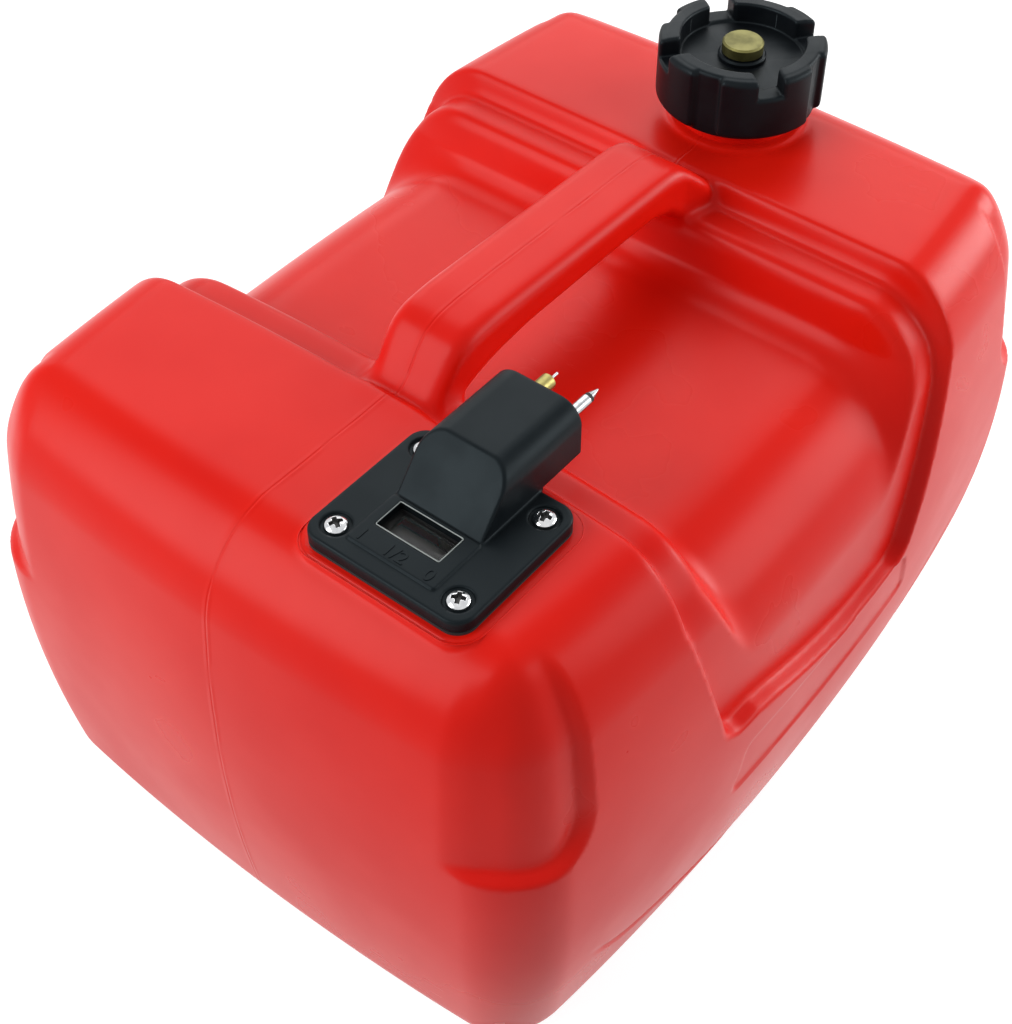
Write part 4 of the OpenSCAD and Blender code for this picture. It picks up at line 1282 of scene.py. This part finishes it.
class FloatGauge:
    """The drum, arm, float and pick-up inside the tank."""

    FINISH = (("drum_bracket", "drum"), ("bracket_screws", "steel"), ("drum_pin", "steel"),
              ("indicator_drum", "drum"), ("float_arm", "steel"), ("gauge_float", "float"),
              ("float_clips", "steel"), ("pickup_tube", "natural"), ("tube_seal", "rubber"),
              ("pickup_strainer", "mesh"))

    def build(self, paint: Paint, nodes: dict[str, bpy.types.Object]) -> None:
        """Dresses the parts inside the tank.

        Args:
            paint: Source of the materials.
            nodes: CAD nodes by name.
        """
        paint.dress_nodes(nodes, self.FINISH)


# ---- Studio -------------------------------------------------------------------------


@dataclass(frozen=True)
class Lamp:
    """One soft light.

    Attributes:
        name: Name of the light.
        place: Where it stands.
        aim: What it points at.
        size: Width and height of its face.
        power: Power in watts.
    """

    name: str
    place: Triple
    aim: Triple
    size: Pair
    power: float


@dataclass(frozen=True)
class Studio:
    """Camera, lights, floor and backdrop, in metres and degrees."""

    place: Triple = (-0.383369, -0.291550, 0.595590)
    azimuth: float = -55.17359614
    elevation: float = 44.59086324
    roll: float = 2.48832031
    lens: float = 60.43
    shift: Pair = (-0.0857, -0.0783)
    near_clip: float = 0.02
    sky_light: float = 0.34
    floor_half: float = 3.0
    floor_level: float = -0.0003
    floor_glow: float = 0.84
    lamps: tuple[Lamp, ...] = (
        Lamp("back", (0.95, 0.65, 1.15), (0.0, 0.0, 0.1), (1.6, 1.2), 12.5),
        Lamp("left", (-1.15, 0.6, 0.85), (0.0, 0.0, 0.1), (0.9, 1.2), 16.5),
        Lamp("right", (0.95, -1.1, 0.65), (0.0, 0.0, 0.1), (1.2, 0.8), 12.0),
        Lamp("far", (1.2, -0.66, 0.42), (0.1, -0.05, 0.15), (0.45, 0.5), 4.5),
    )

    def _camera(self) -> None:
        """Places the camera as the photograph was taken."""
        az, el = math.radians(self.azimuth), math.radians(self.elevation)
        back = Vector((math.sin(az) * math.cos(el), -math.cos(az) * math.cos(el), math.sin(el)))
        right = (-back).cross(Vector((0, 0, 1))).normalized()
        up = right.cross(-back)
        roll = math.radians(self.roll)
        across = math.cos(roll) * right + math.sin(roll) * up
        upward = -math.sin(roll) * right + math.cos(roll) * up
        data = bpy.data.cameras.new("camera")
        data.lens = self.lens
        data.shift_x, data.shift_y = self.shift
        data.clip_start = self.near_clip
        camera = linked("camera", data)
        turned = Matrix((across, upward, back)).transposed().to_4x4()
        camera.matrix_world = Matrix.Translation(self.place) @ turned
        bpy.context.scene.camera = camera

    def _lamp(self, lamp: Lamp) -> None:
        """Adds one light.

        Args:
            lamp: What to add.
        """
        data = bpy.data.lights.new(lamp.name, "AREA")
        data.shape = "RECTANGLE"
        data.size, data.size_y = lamp.size
        data.energy = lamp.power
        light = linked(lamp.name, data)
        light.location = lamp.place
        aim = Vector(lamp.aim) - Vector(lamp.place)
        light.rotation_euler = aim.to_track_quat("-Z", "Y").to_euler()

    def _world(self) -> None:
        """Sets a white backdrop that lights the scene softly."""
        world = bpy.data.worlds.new("backdrop")
        world.use_nodes = True
        t = Tree(world.node_tree)
        soft = t.node("ShaderNodeBackground",
                      inputs={"Color": (0.97, 0.98, 1.0, 1.0), "Strength": self.sky_light})
        white = t.node("ShaderNodeBackground",
                       inputs={"Color": (1.0, 1.0, 1.0, 1.0), "Strength": 1.0})
        mix = t.node("ShaderNodeMixShader",
                     inputs={0: t.seen(), 1: soft.outputs[0], 2: white.outputs[0]})
        t.give(world.node_tree.nodes["World Output"], {"Surface": mix.outputs[0]})
        bpy.context.scene.world = world

    def _floor(self) -> None:
        """Adds the pale floor, just under the tank's bottom."""
        half = self.floor_half
        points = np.array([(sx * half, sy * half, self.floor_level)
                           for sx, sy in ((-1, -1), (1, -1), (1, 1), (-1, 1))])
        floor = mesh_object("floor", points, np.array([[0, 1, 2, 3]]))
        made = bpy.data.materials.new("floor_white")
        made.use_nodes = True
        t = Tree(made.node_tree)
        t.give(made.node_tree.nodes["Principled BSDF"], {
            "Base Color": (0.36, 0.36, 0.36, 1.0),
            "Roughness": 0.9,
            "Emission Color": (1.0, 1.0, 1.0, 1.0),
            "Emission Strength": t.math("MULTIPLY", t.seen(), self.floor_glow),
        })
        floor.data.materials.append(made)

    def build(self) -> None:
        """Builds the whole studio."""
        self._camera()
        for lamp in self.lamps:
            self._lamp(lamp)
        self._world()
        self._floor()
        bpy.context.scene.view_settings.view_transform = "Standard"


def main() -> None:
    """Builds the scene, sub-assembly by sub-assembly."""
    logging.basicConfig(level=logging.INFO, format="%(name)s: %(message)s")
    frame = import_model()
    nodes = frame["nodes"]
    paint = Paint()
    TankShell().build(paint)
    FillerCap().build(paint, nodes)
    GaugeUnit().build(paint, nodes)
    FloatGauge().build(paint, nodes)
    Studio().build()
    LOG.info("scene built")


if __name__ == "__main__":
    main()
